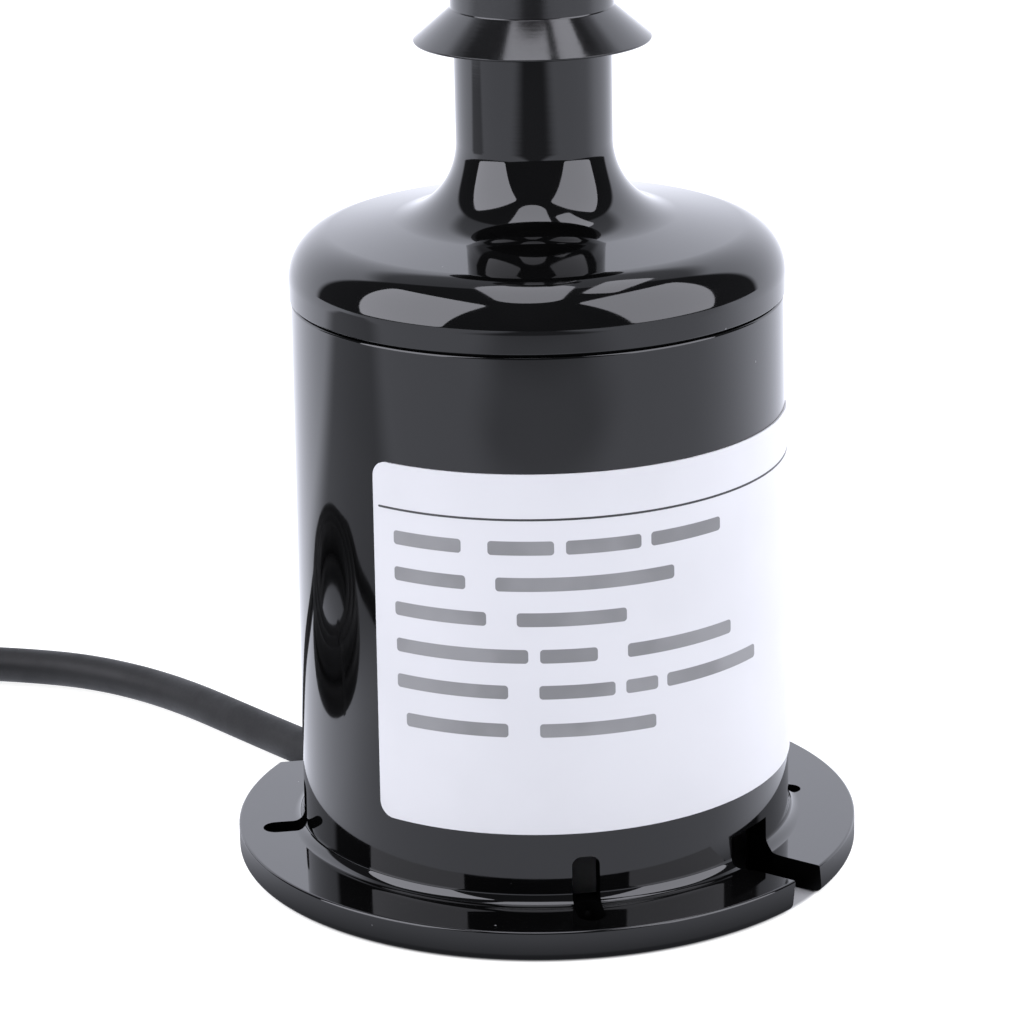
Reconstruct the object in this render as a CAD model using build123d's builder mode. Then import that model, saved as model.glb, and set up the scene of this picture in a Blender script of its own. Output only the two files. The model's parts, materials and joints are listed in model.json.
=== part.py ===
"""Cup anemometer: a moulded round housing with a fixing flange, a ball-bearing rotor with three
cups, a slotted-disc pulse sensor inside, and a lead that leaves under the flange.

Millimetres, +Z up. The origin is the centre of the flange's underside. The front fixing slot
points to -Y, and the lead leaves towards (-X, +Y).
"""

import os
from math import cos, degrees, pi, radians, sin, tan

from build123d import *

os.makedirs("parts", exist_ok=True)

# ---------------------------------------------------------------- driving dimensions
# Housing
FLANGE_R = 40.0
FLANGE_T = 3.95
FLANGE_EDGE_R = 1.1          # rounding of the flange's lower rim
FLANGE_CHAMFER = 0.3
BARREL_R_FOOT = 31.5         # the barrel has a little draft
BARREL_R_TOP = 30.75
BARREL_BORE_R = 28.6
FOOT_FILLET = 1.5
SEAM_Z = 73.64               # where the cap sits on the barrel
SLOT_W = 3.45
SLOT_IN_R, SLOT_OUT_R = 31.0, 37.0
SLOT_ARCH_Z = 10.0           # top of the wall opening above each slot
SHORT_SLOT_W, SHORT_SLOT_L, SHORT_SLOT_R = 3.0, 4.0, 31.8
SLOT_DEGS, SHORT_SLOT_DEG = (-90.0, 180.0, 90.0), 0.0
NOTCH_W_TOP, NOTCH_W_FOOT = 5.7, 7.0
NOTCH_OPENING_W, NOTCH_OPENING_Z = 8.0, 8.2
FRONT_NOTCH_DEG = -44.3      # direction of the spare lead exit
LEAD_DEG = 135.0             # direction in which the lead leaves
COVER_Z, COVER_T, COVER_R = 11.0, 2.4, 28.3

# Cap
CAP_R = 30.95
NECK_R = 9.72
NECK_TOP_Z, NECK_CHAMFER = 107.4, 0.4
NECK_FILLET_R, NECK_FILLET_Z = 9.65, 92.8
SHOULDER_R = 6.1
SHELF_SLOPE_DEG = 9.2        # the conical top between the shoulder and the neck
SPIGOT_Z, SPIGOT_R, SPIGOT_BORE_R = 66.5, 28.3, 24.9

# Bearings: 5 x 13 x 4 deep groove
BEARING_OD_R, BEARING_ID_R, BEARING_W = 6.5, 2.5, 4.0
UPPER_BEARING_Z, LOWER_BEARING_Z = 102.0, 78.0
BALL_R, BALL_PITCH_R, BALL_COUNT = 1.0, 4.55, 7
RACE_PLAY = 0.06

# Rotor
SHAFT_R = BEARING_ID_R
SHAFT_BOTTOM_Z, SHAFT_TOP_Z = 61.5, 159.0
SKIRT_R, SKIRT_Z = 14.63, 105.44
HUB_R, HUB_SKIRT_Z = 10.04, 109.38
HEAD_R, HUB_TOP_Z = 13.0, 154.0
ARM_Z, ARM_R = 147.0, 2.5
ARM_DEGS = (-30.0, 90.0, 210.0)
CUP_RADIAL, CUP_R, CUP_WALL = 70.0, 25.0, 1.4
CUP_OFFSET = 4.0             # the cup's rim plane lies this far behind its arm

# Sensor board
BOARD_Z, BOARD_T, BOARD_R = 56.4, 1.6, 20.6
BOARD_POST_R, BOARD_POST_DEGS = 17.5, (60.0, 180.0, 300.0)
DISC_R, DISC_Z, DISC_T = 12.0, 66.0, 0.8
SENSOR_DEG = 0.0
CAP_SCREW_R, CAP_SCREW_DEGS = 24.0, (30.0, 150.0, 270.0)
COVER_SCREW_R, COVER_SCREW_DEGS = 23.8, (10.0, 80.0, 225.0)

# Label
LABEL_Z, LABEL_FROM_DEG, LABEL_ARC_DEG = (13.2, 59.0), -139.1, 131.5
LABEL_T, LABEL_CORNER_R = 0.2, 2.0

# Lead
LEAD_R = 2.5
LEAD_GLAND_Z = 5.6
LEAD_ROUTE = [               # from the gland to the coil, control points of the lead's line
    (-10.6, 10.6, 5.6), (-18.2, 18.3, 5.6), (-25.3, 25.8, 2.5), (-34.3, 39.8, 2.5),
    (-43.7, 54.9, 2.5), (-52.6, 64.7, 2.5), (-62.0, 70.8, 2.5), (-80.0, 77.0, 2.5),
    (-97.5, 82.3, 2.5), (-106.0, 82.35, 2.5),
]
COIL_CENTRE = (-112.0, 44.5)
COIL_IN_R, COIL_OUT_R, COIL_H = 20.0, 40.4, 10.4
TAIL_ROUTE = [               # from the coil to the stripped end
    (-147.3, 36.0, 7.6), (-147.2, 24.0, 7.6), (-146.0, 8.0, 2.5),
    (-141.0, -6.0, 2.5), (-133.0, -17.0, 2.5),
]
CORE_R, CORE_L = 0.65, 26.0

PILOT_R, SCREW_CLEARANCE_R = 1.3, 1.6
ROOT = 0.2                   # how far a rib or boss runs into the wall it stands on
ON_BASE = (Align.CENTER, Align.CENTER, Align.MIN)
UNDER_BASE = (Align.CENTER, Align.CENTER, Align.MAX)


def polar(radius, deg, z=0.0):
    """A point at a radius and an angle about the part's axis."""
    return (radius * cos(radians(deg)), radius * sin(radians(deg)), z)


def radial_plane(deg, z=0.0, radius=0.0):
    """A plane that looks outward along a direction, with its own Y up."""
    outward = (cos(radians(deg)), sin(radians(deg)), 0)
    return Plane(origin=polar(radius, deg, z), x_dir=(-outward[1], outward[0], 0), z_dir=outward)


def meridian(deg):
    """A half plane through the axis: its own X is the radius and its own Y the height."""
    outward = (cos(radians(deg)), sin(radians(deg)), 0)
    return Plane(origin=(0, 0, 0), x_dir=outward, z_dir=(outward[1], -outward[0], 0))


def save(part, name):
    """Labels one finished piece and writes it."""
    part.label = name
    export_step(part, f"parts/{name}.step")


def ring(name, r_in, r_out, z0, z1):
    """A plain turned ring."""
    with BuildPart() as piece:
        with BuildSketch(Plane.XY.offset(z0)):
            Circle(r_out)
            Circle(r_in, mode=Mode.SUBTRACT)
        extrude(amount=z1 - z0)
    save(piece.part, name)


def barrel_r(z):
    """The barrel's outer radius at a height."""
    return BARREL_R_FOOT + (BARREL_R_TOP - BARREL_R_FOOT) * (z - FLANGE_T) / (SEAM_Z - FLANGE_T)


# ---------------------------------------------------------------- base housing
LEDGE_Z, LEDGE_T, LEDGE_R = COVER_Z + COVER_T, 2.0, 25.8
LUG_Z, LUG_T, LUG_R = 60.0, 4.0, 3.0
BOSS_R, BOSS_TOP_Z, BOSS_ROOF = 3.4, 23.0, 1.5
SEAM_GAP, SEAM_IN_R, SEAM_CHAMFER = 0.3, 29.8, 0.35
ARCH_CORNER_R, ARCH_DEPTH = 1.2, 8.4
NOTCH_REACH = 14.0           # half the length of the tool that cuts a notch through the flange
OPENING_DEPTH = 3.95         # how far the square opening above a notch goes through the wall
MOUTH_R, MOUTH_FLARE = 35.0, 6.0
WALL_CUT_R = BARREL_BORE_R - 1

with BuildPart() as base_housing:
    with BuildSketch(Plane.XZ):
        with BuildLine():
            foot_r = barrel_r(FLANGE_T + FOOT_FILLET)
            Polyline(
                (BARREL_BORE_R, SEAM_Z), (BARREL_BORE_R, 0), (FLANGE_R - FLANGE_EDGE_R, 0)
            )
            RadiusArc(
                (FLANGE_R - FLANGE_EDGE_R, 0), (FLANGE_R, FLANGE_EDGE_R), -FLANGE_EDGE_R
            )
            Polyline(
                (FLANGE_R, FLANGE_EDGE_R), (FLANGE_R, FLANGE_T - FLANGE_CHAMFER),
                (FLANGE_R - FLANGE_CHAMFER, FLANGE_T), (foot_r + FOOT_FILLET, FLANGE_T),
            )
            RadiusArc(
                (foot_r + FOOT_FILLET, FLANGE_T), (foot_r, FLANGE_T + FOOT_FILLET), FOOT_FILLET
            )
            Polyline(
                (foot_r, FLANGE_T + FOOT_FILLET),
                (BARREL_R_TOP, SEAM_Z - SEAM_GAP - SEAM_CHAMFER),
                (BARREL_R_TOP - SEAM_CHAMFER, SEAM_Z - SEAM_GAP),
                (SEAM_IN_R, SEAM_Z - SEAM_GAP), (SEAM_IN_R, SEAM_Z), (BARREL_BORE_R, SEAM_Z),
            )
        make_face()
    revolve(axis=Axis.Z)

    # ledge that the bottom cover seats on, and its screw bosses
    with BuildSketch(Plane.XY.offset(LEDGE_Z)):
        Circle(BARREL_BORE_R + ROOT)
        Circle(LEDGE_R, mode=Mode.SUBTRACT)
    extrude(amount=LEDGE_T)
    with BuildSketch(Plane.XY.offset(LEDGE_Z)):
        for deg in COVER_SCREW_DEGS:
            with PolarLocations(COVER_SCREW_R, 1, start_angle=deg):
                Circle(BOSS_R)
            with PolarLocations((COVER_SCREW_R + BARREL_BORE_R) / 2, 1, start_angle=deg):
                Rectangle(BARREL_BORE_R - COVER_SCREW_R + 2 * ROOT, 2 * BOSS_R)
    extrude(amount=BOSS_TOP_Z - LEDGE_Z)

    # lugs under the cap's bosses
    with BuildSketch(Plane.XY.offset(LUG_Z)):
        for deg in CAP_SCREW_DEGS:
            with PolarLocations(CAP_SCREW_R, 1, start_angle=deg):
                Circle(LUG_R)
            with PolarLocations((CAP_SCREW_R + BARREL_BORE_R) / 2, 1, start_angle=deg):
                Rectangle(BARREL_BORE_R - CAP_SCREW_R + 2 * ROOT, 2 * LUG_R)
    extrude(amount=LUG_T)

    # screw holes
    with BuildSketch(Plane.XY.offset(LEDGE_Z)):
        for deg in COVER_SCREW_DEGS:
            with PolarLocations(COVER_SCREW_R, 1, start_angle=deg):
                Circle(PILOT_R)
    extrude(amount=BOSS_TOP_Z - LEDGE_Z - BOSS_ROOF, mode=Mode.SUBTRACT)
    with BuildSketch(Plane.XY.offset(LUG_Z)):
        for deg in CAP_SCREW_DEGS:
            with PolarLocations(CAP_SCREW_R, 1, start_angle=deg):
                Circle(SCREW_CLEARANCE_R)
    extrude(amount=LUG_T, mode=Mode.SUBTRACT)

    # three fixing slots with arched wall openings above them, and a short narrow one
    with BuildSketch(Plane.XY):
        for deg in SLOT_DEGS:
            with PolarLocations((SLOT_IN_R + SLOT_OUT_R) / 2, 1, start_angle=deg):
                SlotOverall(SLOT_OUT_R - SLOT_IN_R, SLOT_W)
        with PolarLocations(SHORT_SLOT_R, 1, start_angle=SHORT_SLOT_DEG):
            SlotOverall(SHORT_SLOT_L, SHORT_SLOT_W)
    extrude(amount=FLANGE_T + FOOT_FILLET, mode=Mode.SUBTRACT)
    arch_h = SLOT_ARCH_Z - FLANGE_T
    for deg in (*SLOT_DEGS, SHORT_SLOT_DEG):
        width = SHORT_SLOT_W if deg == SHORT_SLOT_DEG else SLOT_W
        with BuildSketch(radial_plane(deg, FLANGE_T + arch_h / 2, WALL_CUT_R)):
            RectangleRounded(width, arch_h, ARCH_CORNER_R)
            with Locations((0, -arch_h / 4)):
                Rectangle(width, arch_h / 2)
        extrude(amount=ARCH_DEPTH, mode=Mode.SUBTRACT)

    # notches for the lead: drafted through the flange, square through the wall
    notch_taper = degrees((NOTCH_W_FOOT - NOTCH_W_TOP) / 2 / FLANGE_T)
    half_notch, half_opening = NOTCH_W_TOP / 2, NOTCH_OPENING_W / 2
    corner_from = (BARREL_R_FOOT, half_opening)
    corner_middle = (BARREL_R_FOOT + 1.3, half_notch + 0.3)
    corner_to = (BARREL_R_FOOT + 3.0, half_notch)
    for deg in (FRONT_NOTCH_DEG, LEAD_DEG):
        with BuildSketch(Plane.XY):
            with PolarLocations(WALL_CUT_R - 1 + NOTCH_REACH, 1, start_angle=deg):
                Rectangle(2 * NOTCH_REACH, NOTCH_W_FOOT)
        extrude(amount=FLANGE_T + 2 * FOOT_FILLET, taper=notch_taper, mode=Mode.SUBTRACT)
        # the notch widens to the opening in a rounded corner on each side
        with BuildSketch(Plane(origin=(0, 0, 0), x_dir=polar(1, deg), z_dir=(0, 0, 1))):
            with BuildLine():
                Polyline((WALL_CUT_R, 0), (WALL_CUT_R, half_opening), corner_from)
                ThreePointArc(corner_from, corner_middle, corner_to)
                Line(corner_to, (corner_to[0], 0))
                mirror(about=Plane.XZ)
            make_face()
        extrude(amount=FLANGE_T + FOOT_FILLET, mode=Mode.SUBTRACT)
        with BuildSketch(radial_plane(deg, NOTCH_OPENING_Z / 2, WALL_CUT_R)):
            with Locations((0, FLANGE_T / 2)):
                Rectangle(NOTCH_OPENING_W, NOTCH_OPENING_Z - FLANGE_T)
        extrude(amount=OPENING_DEPTH, mode=Mode.SUBTRACT)
    # flared mouth where the lead leaves
    with BuildSketch(Plane.XY):
        with PolarLocations(MOUTH_R, 1, start_angle=LEAD_DEG):
            Polygon(
                (0, NOTCH_W_TOP / 2), (MOUTH_FLARE, NOTCH_W_TOP / 2 + MOUTH_FLARE),
                (MOUTH_FLARE, -NOTCH_W_TOP / 2 - MOUTH_FLARE), (0, -NOTCH_W_TOP / 2),
                align=None,
            )
    extrude(amount=FLANGE_T + FLANGE_CHAMFER, mode=Mode.SUBTRACT)
save(base_housing.part, "base_housing")

# ---------------------------------------------------------------- bottom cover
GLAND_IN, GLAND_OUT, GLAND_HALF_W = 6.5, 19.0, 6.0
GLAND_LOW_Z, GLAND_FLOOR_Z = 0.8, 2.0
CAVITY_IN, CAVITY_OUT, CAVITY_HALF_W = 8.25, 15.75, 4.0
GLAND_CORNER_R, GROMMET_HOLE_R = 1.2, 3.6
COUNTERSINK_R, COUNTERSINK_T = 3.0, 1.5

with BuildPart() as bottom_cover:
    with BuildSketch(Plane.XY.offset(COVER_Z)):
        Circle(COVER_R)
    extrude(amount=COVER_T)
    # gland box that hangs below the plate
    with BuildSketch(Plane.XY.offset(GLAND_LOW_Z)):
        with PolarLocations((GLAND_IN + GLAND_OUT) / 2, 1, start_angle=LEAD_DEG):
            RectangleRounded(GLAND_OUT - GLAND_IN, 2 * GLAND_HALF_W, GLAND_CORNER_R)
    extrude(amount=COVER_Z - GLAND_LOW_Z + ROOT)
    with BuildSketch(Plane.XY.offset(GLAND_FLOOR_Z)):
        with PolarLocations((CAVITY_IN + CAVITY_OUT) / 2, 1, start_angle=LEAD_DEG):
            Rectangle(CAVITY_OUT - CAVITY_IN, 2 * CAVITY_HALF_W)
    extrude(amount=COVER_Z + COVER_T, mode=Mode.SUBTRACT)
    with BuildSketch(radial_plane(LEAD_DEG, LEAD_GLAND_Z, (CAVITY_IN + CAVITY_OUT) / 2)):
        Circle(GROMMET_HOLE_R)
    extrude(amount=GLAND_OUT, mode=Mode.SUBTRACT)
    # countersunk screw holes
    for deg in COVER_SCREW_DEGS:
        with BuildSketch(Plane(origin=polar(COVER_SCREW_R, deg, COVER_Z), z_dir=(0, 0, 1))):
            Circle(COUNTERSINK_R)
        extrude(amount=COUNTERSINK_T, taper=45, mode=Mode.SUBTRACT)
        with BuildSketch(Plane(origin=polar(COVER_SCREW_R, deg, COVER_Z), z_dir=(0, 0, 1))):
            Circle(SCREW_CLEARANCE_R)
        extrude(amount=COVER_T, mode=Mode.SUBTRACT)
save(bottom_cover.part, "bottom_cover")

COVER_SCREW_L = 10.0
CROSS_L, CROSS_W, CROSS_DEPTH = 3.0, 0.7, 0.9

with BuildPart() as bottom_cover_screws:
    with Locations(*[polar(COVER_SCREW_R, deg, COVER_Z) for deg in COVER_SCREW_DEGS]):
        Cone(COUNTERSINK_R - 0.05, COUNTERSINK_T, COUNTERSINK_T - 0.05, align=ON_BASE)
        Cylinder(PILOT_R, COVER_SCREW_L, align=ON_BASE)
        Box(CROSS_L, CROSS_W, CROSS_DEPTH, align=ON_BASE, mode=Mode.SUBTRACT)
        Box(CROSS_W, CROSS_L, CROSS_DEPTH, align=ON_BASE, mode=Mode.SUBTRACT)
save(bottom_cover_screws.part, "bottom_cover_screws")

# ---------------------------------------------------------------- cap
CEILING_Z, BEARING_TUBE_R = 79.6, 9.5
BEARING_STOP_R = 5.0
CIRCLIP_T, CIRCLIP_GROOVE_R = 0.95, 7.0
BEARING_TUBE_Z = 75.8
SEAL_Z, SEAL_R, SEAL_T = 70.3, 27.6, 1.0
SEAL_GROOVE_H, CLIP_PLAY = 2.3, 0.05
CAP_BOSS_R, CAP_BOSS_TOP_Z, CAP_SCREW_L = 2.6, SEAM_Z + 3, 12.0
POST_R, POST_TOP_Z, BOARD_SCREW_R, BOARD_SCREW_L = 2.6, CEILING_Z + 0.8, 1.1, 9.5
ROOF = (                     # inside of the cap, from the bearing tube down to the spigot
    (BEARING_TUBE_R, CEILING_Z), (23.5, CEILING_Z - 0.6), (26.3, CEILING_Z - 2.2),
    (26.9, CEILING_Z - 4.0), (SPIGOT_BORE_R, SEAM_Z - 0.6),
)

# the shoulder's height makes its arc, the shelf and the neck's fillet tangent
shelf_sin, shelf_cos = sin(radians(SHELF_SLOPE_DEG)), cos(radians(SHELF_SLOPE_DEG))
both_r = SHOULDER_R + NECK_FILLET_R
shoulder_z = NECK_FILLET_Z - (both_r + (CAP_R - NECK_R - both_r) * shelf_sin) / shelf_cos
neck_arc_end = (
    NECK_R + NECK_FILLET_R * (1 - shelf_sin), NECK_FILLET_Z - NECK_FILLET_R * shelf_cos
)
shoulder_start = (CAP_R - SHOULDER_R * (1 - shelf_sin), shoulder_z + SHOULDER_R * shelf_cos)
upper_groove_z = UPPER_BEARING_Z + BEARING_W + CLIP_PLAY
lower_groove_z = LOWER_BEARING_Z - CLIP_PLAY - CIRCLIP_T

with BuildPart() as top_cap:
    with BuildSketch(Plane.XZ):
        with BuildLine():
            Polyline(
                (SPIGOT_BORE_R, SPIGOT_Z), (SPIGOT_R, SPIGOT_Z), (SPIGOT_R, SEAM_Z),
                (CAP_R, SEAM_Z), (CAP_R, shoulder_z),
            )
            RadiusArc((CAP_R, shoulder_z), shoulder_start, -SHOULDER_R)
            Line(shoulder_start, neck_arc_end)
            RadiusArc(neck_arc_end, (NECK_R, NECK_FILLET_Z), NECK_FILLET_R)
            Polyline(
                (NECK_R, NECK_FILLET_Z), (NECK_R, NECK_TOP_Z - NECK_CHAMFER),
                (NECK_R - NECK_CHAMFER, NECK_TOP_Z), (BEARING_OD_R, NECK_TOP_Z),
                (BEARING_OD_R, UPPER_BEARING_Z), (BEARING_STOP_R, UPPER_BEARING_Z),
                (BEARING_STOP_R, LOWER_BEARING_Z + BEARING_W),
                (BEARING_OD_R, LOWER_BEARING_Z + BEARING_W), (BEARING_OD_R, BEARING_TUBE_Z),
                (BEARING_TUBE_R, BEARING_TUBE_Z), *ROOF, (SPIGOT_BORE_R, SPIGOT_Z),
            )
        make_face()
        # grooves for the seal and the two circlips
        with Locations((SPIGOT_R, SEAL_Z)):
            Rectangle(2 * (SPIGOT_R - SEAL_R + SEAL_T), SEAL_GROOVE_H, mode=Mode.SUBTRACT)
        for z in (upper_groove_z, lower_groove_z):
            with Locations((BEARING_OD_R, z + CIRCLIP_T / 2)):
                Rectangle(2 * (CIRCLIP_GROOVE_R - BEARING_OD_R), CIRCLIP_T, mode=Mode.SUBTRACT)
    revolve(axis=Axis.Z)
    # bosses for the cap screws and posts for the sensor board
    with BuildSketch(Plane.XY.offset(LUG_Z + LUG_T)):
        for deg in CAP_SCREW_DEGS:
            with PolarLocations(CAP_SCREW_R, 1, start_angle=deg):
                Circle(CAP_BOSS_R)
    extrude(amount=CAP_BOSS_TOP_Z - LUG_Z - LUG_T)
    with BuildSketch(Plane.XY.offset(BOARD_Z + BOARD_T)):
        for deg in BOARD_POST_DEGS:
            with PolarLocations(BOARD_POST_R, 1, start_angle=deg):
                Circle(POST_R)
    extrude(amount=POST_TOP_Z - BOARD_Z - BOARD_T)
    with BuildSketch(Plane.XY.offset(LUG_Z + LUG_T)):
        for deg in CAP_SCREW_DEGS:
            with PolarLocations(CAP_SCREW_R, 1, start_angle=deg):
                Circle(PILOT_R)
    extrude(amount=CAP_SCREW_L - LUG_T + 1, mode=Mode.SUBTRACT)
    with BuildSketch(Plane.XY.offset(BOARD_Z + BOARD_T)):
        for deg in BOARD_POST_DEGS:
            with PolarLocations(BOARD_POST_R, 1, start_angle=deg):
                Circle(BOARD_SCREW_R)
    extrude(amount=BOARD_SCREW_L, mode=Mode.SUBTRACT)
save(top_cap.part, "top_cap")


def pan_head_screws(name, places, thread_r, length, head_r, head_h):
    """Cross-head screws that point up, with their heads below the given places."""
    with BuildPart() as piece:
        with Locations(*places):
            Cylinder(head_r, head_h, align=UNDER_BASE)
            Cylinder(thread_r, length, align=ON_BASE)
        with Locations(*[(x, y, z - head_h) for x, y, z in places]):
            Box(CROSS_L, CROSS_W, head_h / 2, align=ON_BASE, mode=Mode.SUBTRACT)
            Box(CROSS_W, CROSS_L, head_h / 2, align=ON_BASE, mode=Mode.SUBTRACT)
    save(piece.part, name)


CAP_SCREW_HEAD = (2.5, 2.4)
pan_head_screws(
    "cap_screws", [polar(CAP_SCREW_R, deg, LUG_Z) for deg in CAP_SCREW_DEGS],
    PILOT_R, CAP_SCREW_L, *CAP_SCREW_HEAD,
)

with BuildPart() as cap_seal:
    with BuildSketch(Plane.XZ):
        with Locations((SEAL_R, SEAL_Z)):
            Circle(SEAL_T)
    revolve(axis=Axis.Z)
save(cap_seal.part, "cap_seal")

# ---------------------------------------------------------------- label
with BuildPart() as label_sticker:
    with BuildSketch(meridian(LABEL_FROM_DEG)):
        low, high = LABEL_Z
        Polygon(
            (barrel_r(low), low), (barrel_r(low) + LABEL_T, low),
            (barrel_r(high) + LABEL_T, high), (barrel_r(high), high), align=None,
        )
    revolve(axis=Axis.Z, revolution_arc=LABEL_ARC_DEG)
    corners = label_sticker.edges().filter_by(lambda edge: edge.length < 2 * LABEL_T)
    fillet(corners, LABEL_CORNER_R)
save(label_sticker.part, "label_sticker")

# ---------------------------------------------------------------- sensor board
BOARD_HOLE_R = 1.5
FORK_IN_R, FORK_OUT_R, FORK_BACK_R, FORK_HALF_W = 7.9, 16.9, 12.9, 3.4
FORK_TOP_Z, FORK_GAP_HIGH_Z, FORK_GAP_LOW_Z = DISC_Z + 5.4, DISC_Z + 1.9, DISC_Z - 1.1
TERMINALS_R, TERMINALS_D, TERMINALS_L, TERMINALS_H = 12.5, 7.0, 11.0, 8.0
ENTRY_R, ENTRY_AT_R, ENTRY_PITCH, ENTRY_DEPTH = 0.9, 14.3, 2.6, 5.0
CHIP_R, CHIP_DEG, CHIP_W, CHIP_L, CHIP_H, CHIP_STANDOFF = 15.0, 120.0, 4.0, 5.0, 1.5, 0.2
LEG_SPAN, LEG_PITCH, LEG_L, LEG_W, LEG_H = 5.2, 1.27, 1.4, 0.45, 0.6
CAN_AT_R, CAN_DEG, CAN_R, CAN_H, CAN_EDGE_R = 15.5, 240.0, 2.5, 7.0, 0.4
board_top = BOARD_Z + BOARD_T

with BuildPart() as circuit_board:
    with BuildSketch(Plane.XY.offset(BOARD_Z)):
        Circle(BOARD_R)
        for deg in BOARD_POST_DEGS:
            with PolarLocations(BOARD_POST_R, 1, start_angle=deg):
                Circle(BOARD_HOLE_R, mode=Mode.SUBTRACT)
    extrude(amount=BOARD_T)
save(circuit_board.part, "circuit_board")

BOARD_SCREW_HEAD = (2.3, 1.8)
pan_head_screws(
    "board_screws", [polar(BOARD_POST_R, deg, BOARD_Z) for deg in BOARD_POST_DEGS],
    BOARD_SCREW_R, BOARD_SCREW_L, *BOARD_SCREW_HEAD,
)

with BuildPart() as optical_sensor:
    with BuildSketch(meridian(SENSOR_DEG)):
        Polygon(
            (FORK_IN_R, board_top), (FORK_OUT_R, board_top), (FORK_OUT_R, FORK_TOP_Z),
            (FORK_IN_R, FORK_TOP_Z), (FORK_IN_R, FORK_GAP_HIGH_Z),
            (FORK_BACK_R, FORK_GAP_HIGH_Z), (FORK_BACK_R, FORK_GAP_LOW_Z),
            (FORK_IN_R, FORK_GAP_LOW_Z), align=None,
        )
    extrude(amount=FORK_HALF_W, both=True)
    chamfer(optical_sensor.edges().filter_by(Axis.Z).group_by(Axis.X)[-1], 0.8)
save(optical_sensor.part, "optical_sensor")

with BuildPart() as terminal_block:
    with BuildSketch(Plane.XY.offset(BOARD_Z)):
        with PolarLocations(TERMINALS_R, 1, start_angle=LEAD_DEG):
            Rectangle(TERMINALS_D, TERMINALS_L)
    extrude(amount=-TERMINALS_H)
    with BuildSketch(Plane.XY.offset(BOARD_Z - TERMINALS_H)):
        with PolarLocations(ENTRY_AT_R, 1, start_angle=LEAD_DEG):
            with GridLocations(1, ENTRY_PITCH, 1, 4):
                Circle(ENTRY_R)
    extrude(amount=ENTRY_DEPTH, mode=Mode.SUBTRACT)
save(terminal_block.part, "terminal_block")

with BuildPart() as board_chip:
    with BuildSketch(Plane.XY.offset(board_top + CHIP_STANDOFF)):
        with PolarLocations(CHIP_R, 1, start_angle=CHIP_DEG):
            Rectangle(CHIP_W, CHIP_L)
    extrude(amount=CHIP_H, taper=4)
    with BuildSketch(Plane.XY.offset(board_top)):
        with PolarLocations(CHIP_R, 1, start_angle=CHIP_DEG):
            with GridLocations(LEG_SPAN, LEG_PITCH, 2, 4):
                Rectangle(LEG_L, LEG_W)
    extrude(amount=LEG_H)
save(board_chip.part, "board_chip")

with BuildPart() as board_capacitor:
    with Locations(polar(CAN_AT_R, CAN_DEG, board_top)):
        Cylinder(CAN_R, CAN_H, align=ON_BASE)
    fillet(board_capacitor.edges().sort_by(Axis.Z)[-1], CAN_EDGE_R)
save(board_capacitor.part, "board_capacitor")


# ---------------------------------------------------------------- lead
ARC_SHARE = 0.45             # the part of a run that the arc at its end may take


def bend_radii(points):
    """The largest arc radius at each corner of a route that leaves its runs room."""
    radii = []
    for before, corner, after in zip(points, points[1:], points[2:]):
        run_in, run_out = Vector(corner) - Vector(before), Vector(after) - Vector(corner)
        half_turn = radians(run_in.get_angle(run_out)) / 2
        radii.append(ARC_SHARE * min(run_in.length, run_out.length) / tan(half_turn))
    return radii


def tube(name, points, radius):
    """A round lead along straight runs joined by tangent arcs."""
    radii = bend_radii(points)
    with BuildPart() as piece:
        with BuildLine() as path:
            FilletPolyline(*points, radius=radii)
        with BuildSketch(Plane(origin=path.line @ 0, z_dir=path.line % 0)):
            Circle(radius)
        sweep()
    length = sum(edge.length for edge in path.edges())
    print(name, "length", round(length, 1), "radii", [round(r) for r in radii],
          "volume over section times length", round(piece.part.volume / (pi * radius**2 * length), 4))
    save(piece.part, name)


tube("lead_cable", LEAD_ROUTE, LEAD_R)
tube("lead_tail", TAIL_ROUTE, LEAD_R)

INNER_LEAD_R = 1.5
INNER_ROUTE = (              # radius from the axis and height: gland, up through the cover, terminals
    (14.9, LEAD_GLAND_Z), (10.9, LEAD_GLAND_Z), (10.9, 16.0), (ENTRY_AT_R, 34.0),
    (ENTRY_AT_R, BOARD_Z - TERMINALS_H - ROOT),
)

with BuildPart() as inner_lead:
    with BuildLine() as inner_path:
        FilletPolyline(
            *[polar(radius, LEAD_DEG, z) for radius, z in INNER_ROUTE], radius=[2.6, 30.0, 30.0]
        )
    with BuildSketch(Plane(origin=inner_path.line @ 0, z_dir=inner_path.line % 0)):
        Circle(INNER_LEAD_R)
    sweep()
save(inner_lead.part, "inner_lead")

GROMMET_IN, GROMMET_OUT, LIP_R = 15.6, 20.9, 4.6

with BuildPart() as cable_grommet:
    gland_axis = Axis(polar(0, LEAD_DEG, LEAD_GLAND_Z), polar(1, LEAD_DEG))
    with BuildSketch(meridian(LEAD_DEG)):
        Polygon(
            (GROMMET_IN, LEAD_GLAND_Z + LEAD_R), (GROMMET_IN, LEAD_GLAND_Z + GROMMET_HOLE_R - 0.3),
            (GROMMET_IN + 0.9, LEAD_GLAND_Z + GROMMET_HOLE_R),
            (GLAND_OUT, LEAD_GLAND_Z + GROMMET_HOLE_R), (GLAND_OUT, LEAD_GLAND_Z + LIP_R),
            (GROMMET_OUT - 0.7, LEAD_GLAND_Z + LIP_R), (GROMMET_OUT, LEAD_GLAND_Z + LIP_R - 1.2),
            (GROMMET_OUT, LEAD_GLAND_Z + LEAD_R), align=None,
        )
    revolve(axis=gland_axis)
save(cable_grommet.part, "cable_grommet")

COIL_EDGE = 0.8
COIL_CROWN = (
    (COIL_OUT_R, 4.6), (38.6, COIL_H - 1.2), (37.4, COIL_H), (23.6, COIL_H), (COIL_IN_R, 4.6),
)

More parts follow.
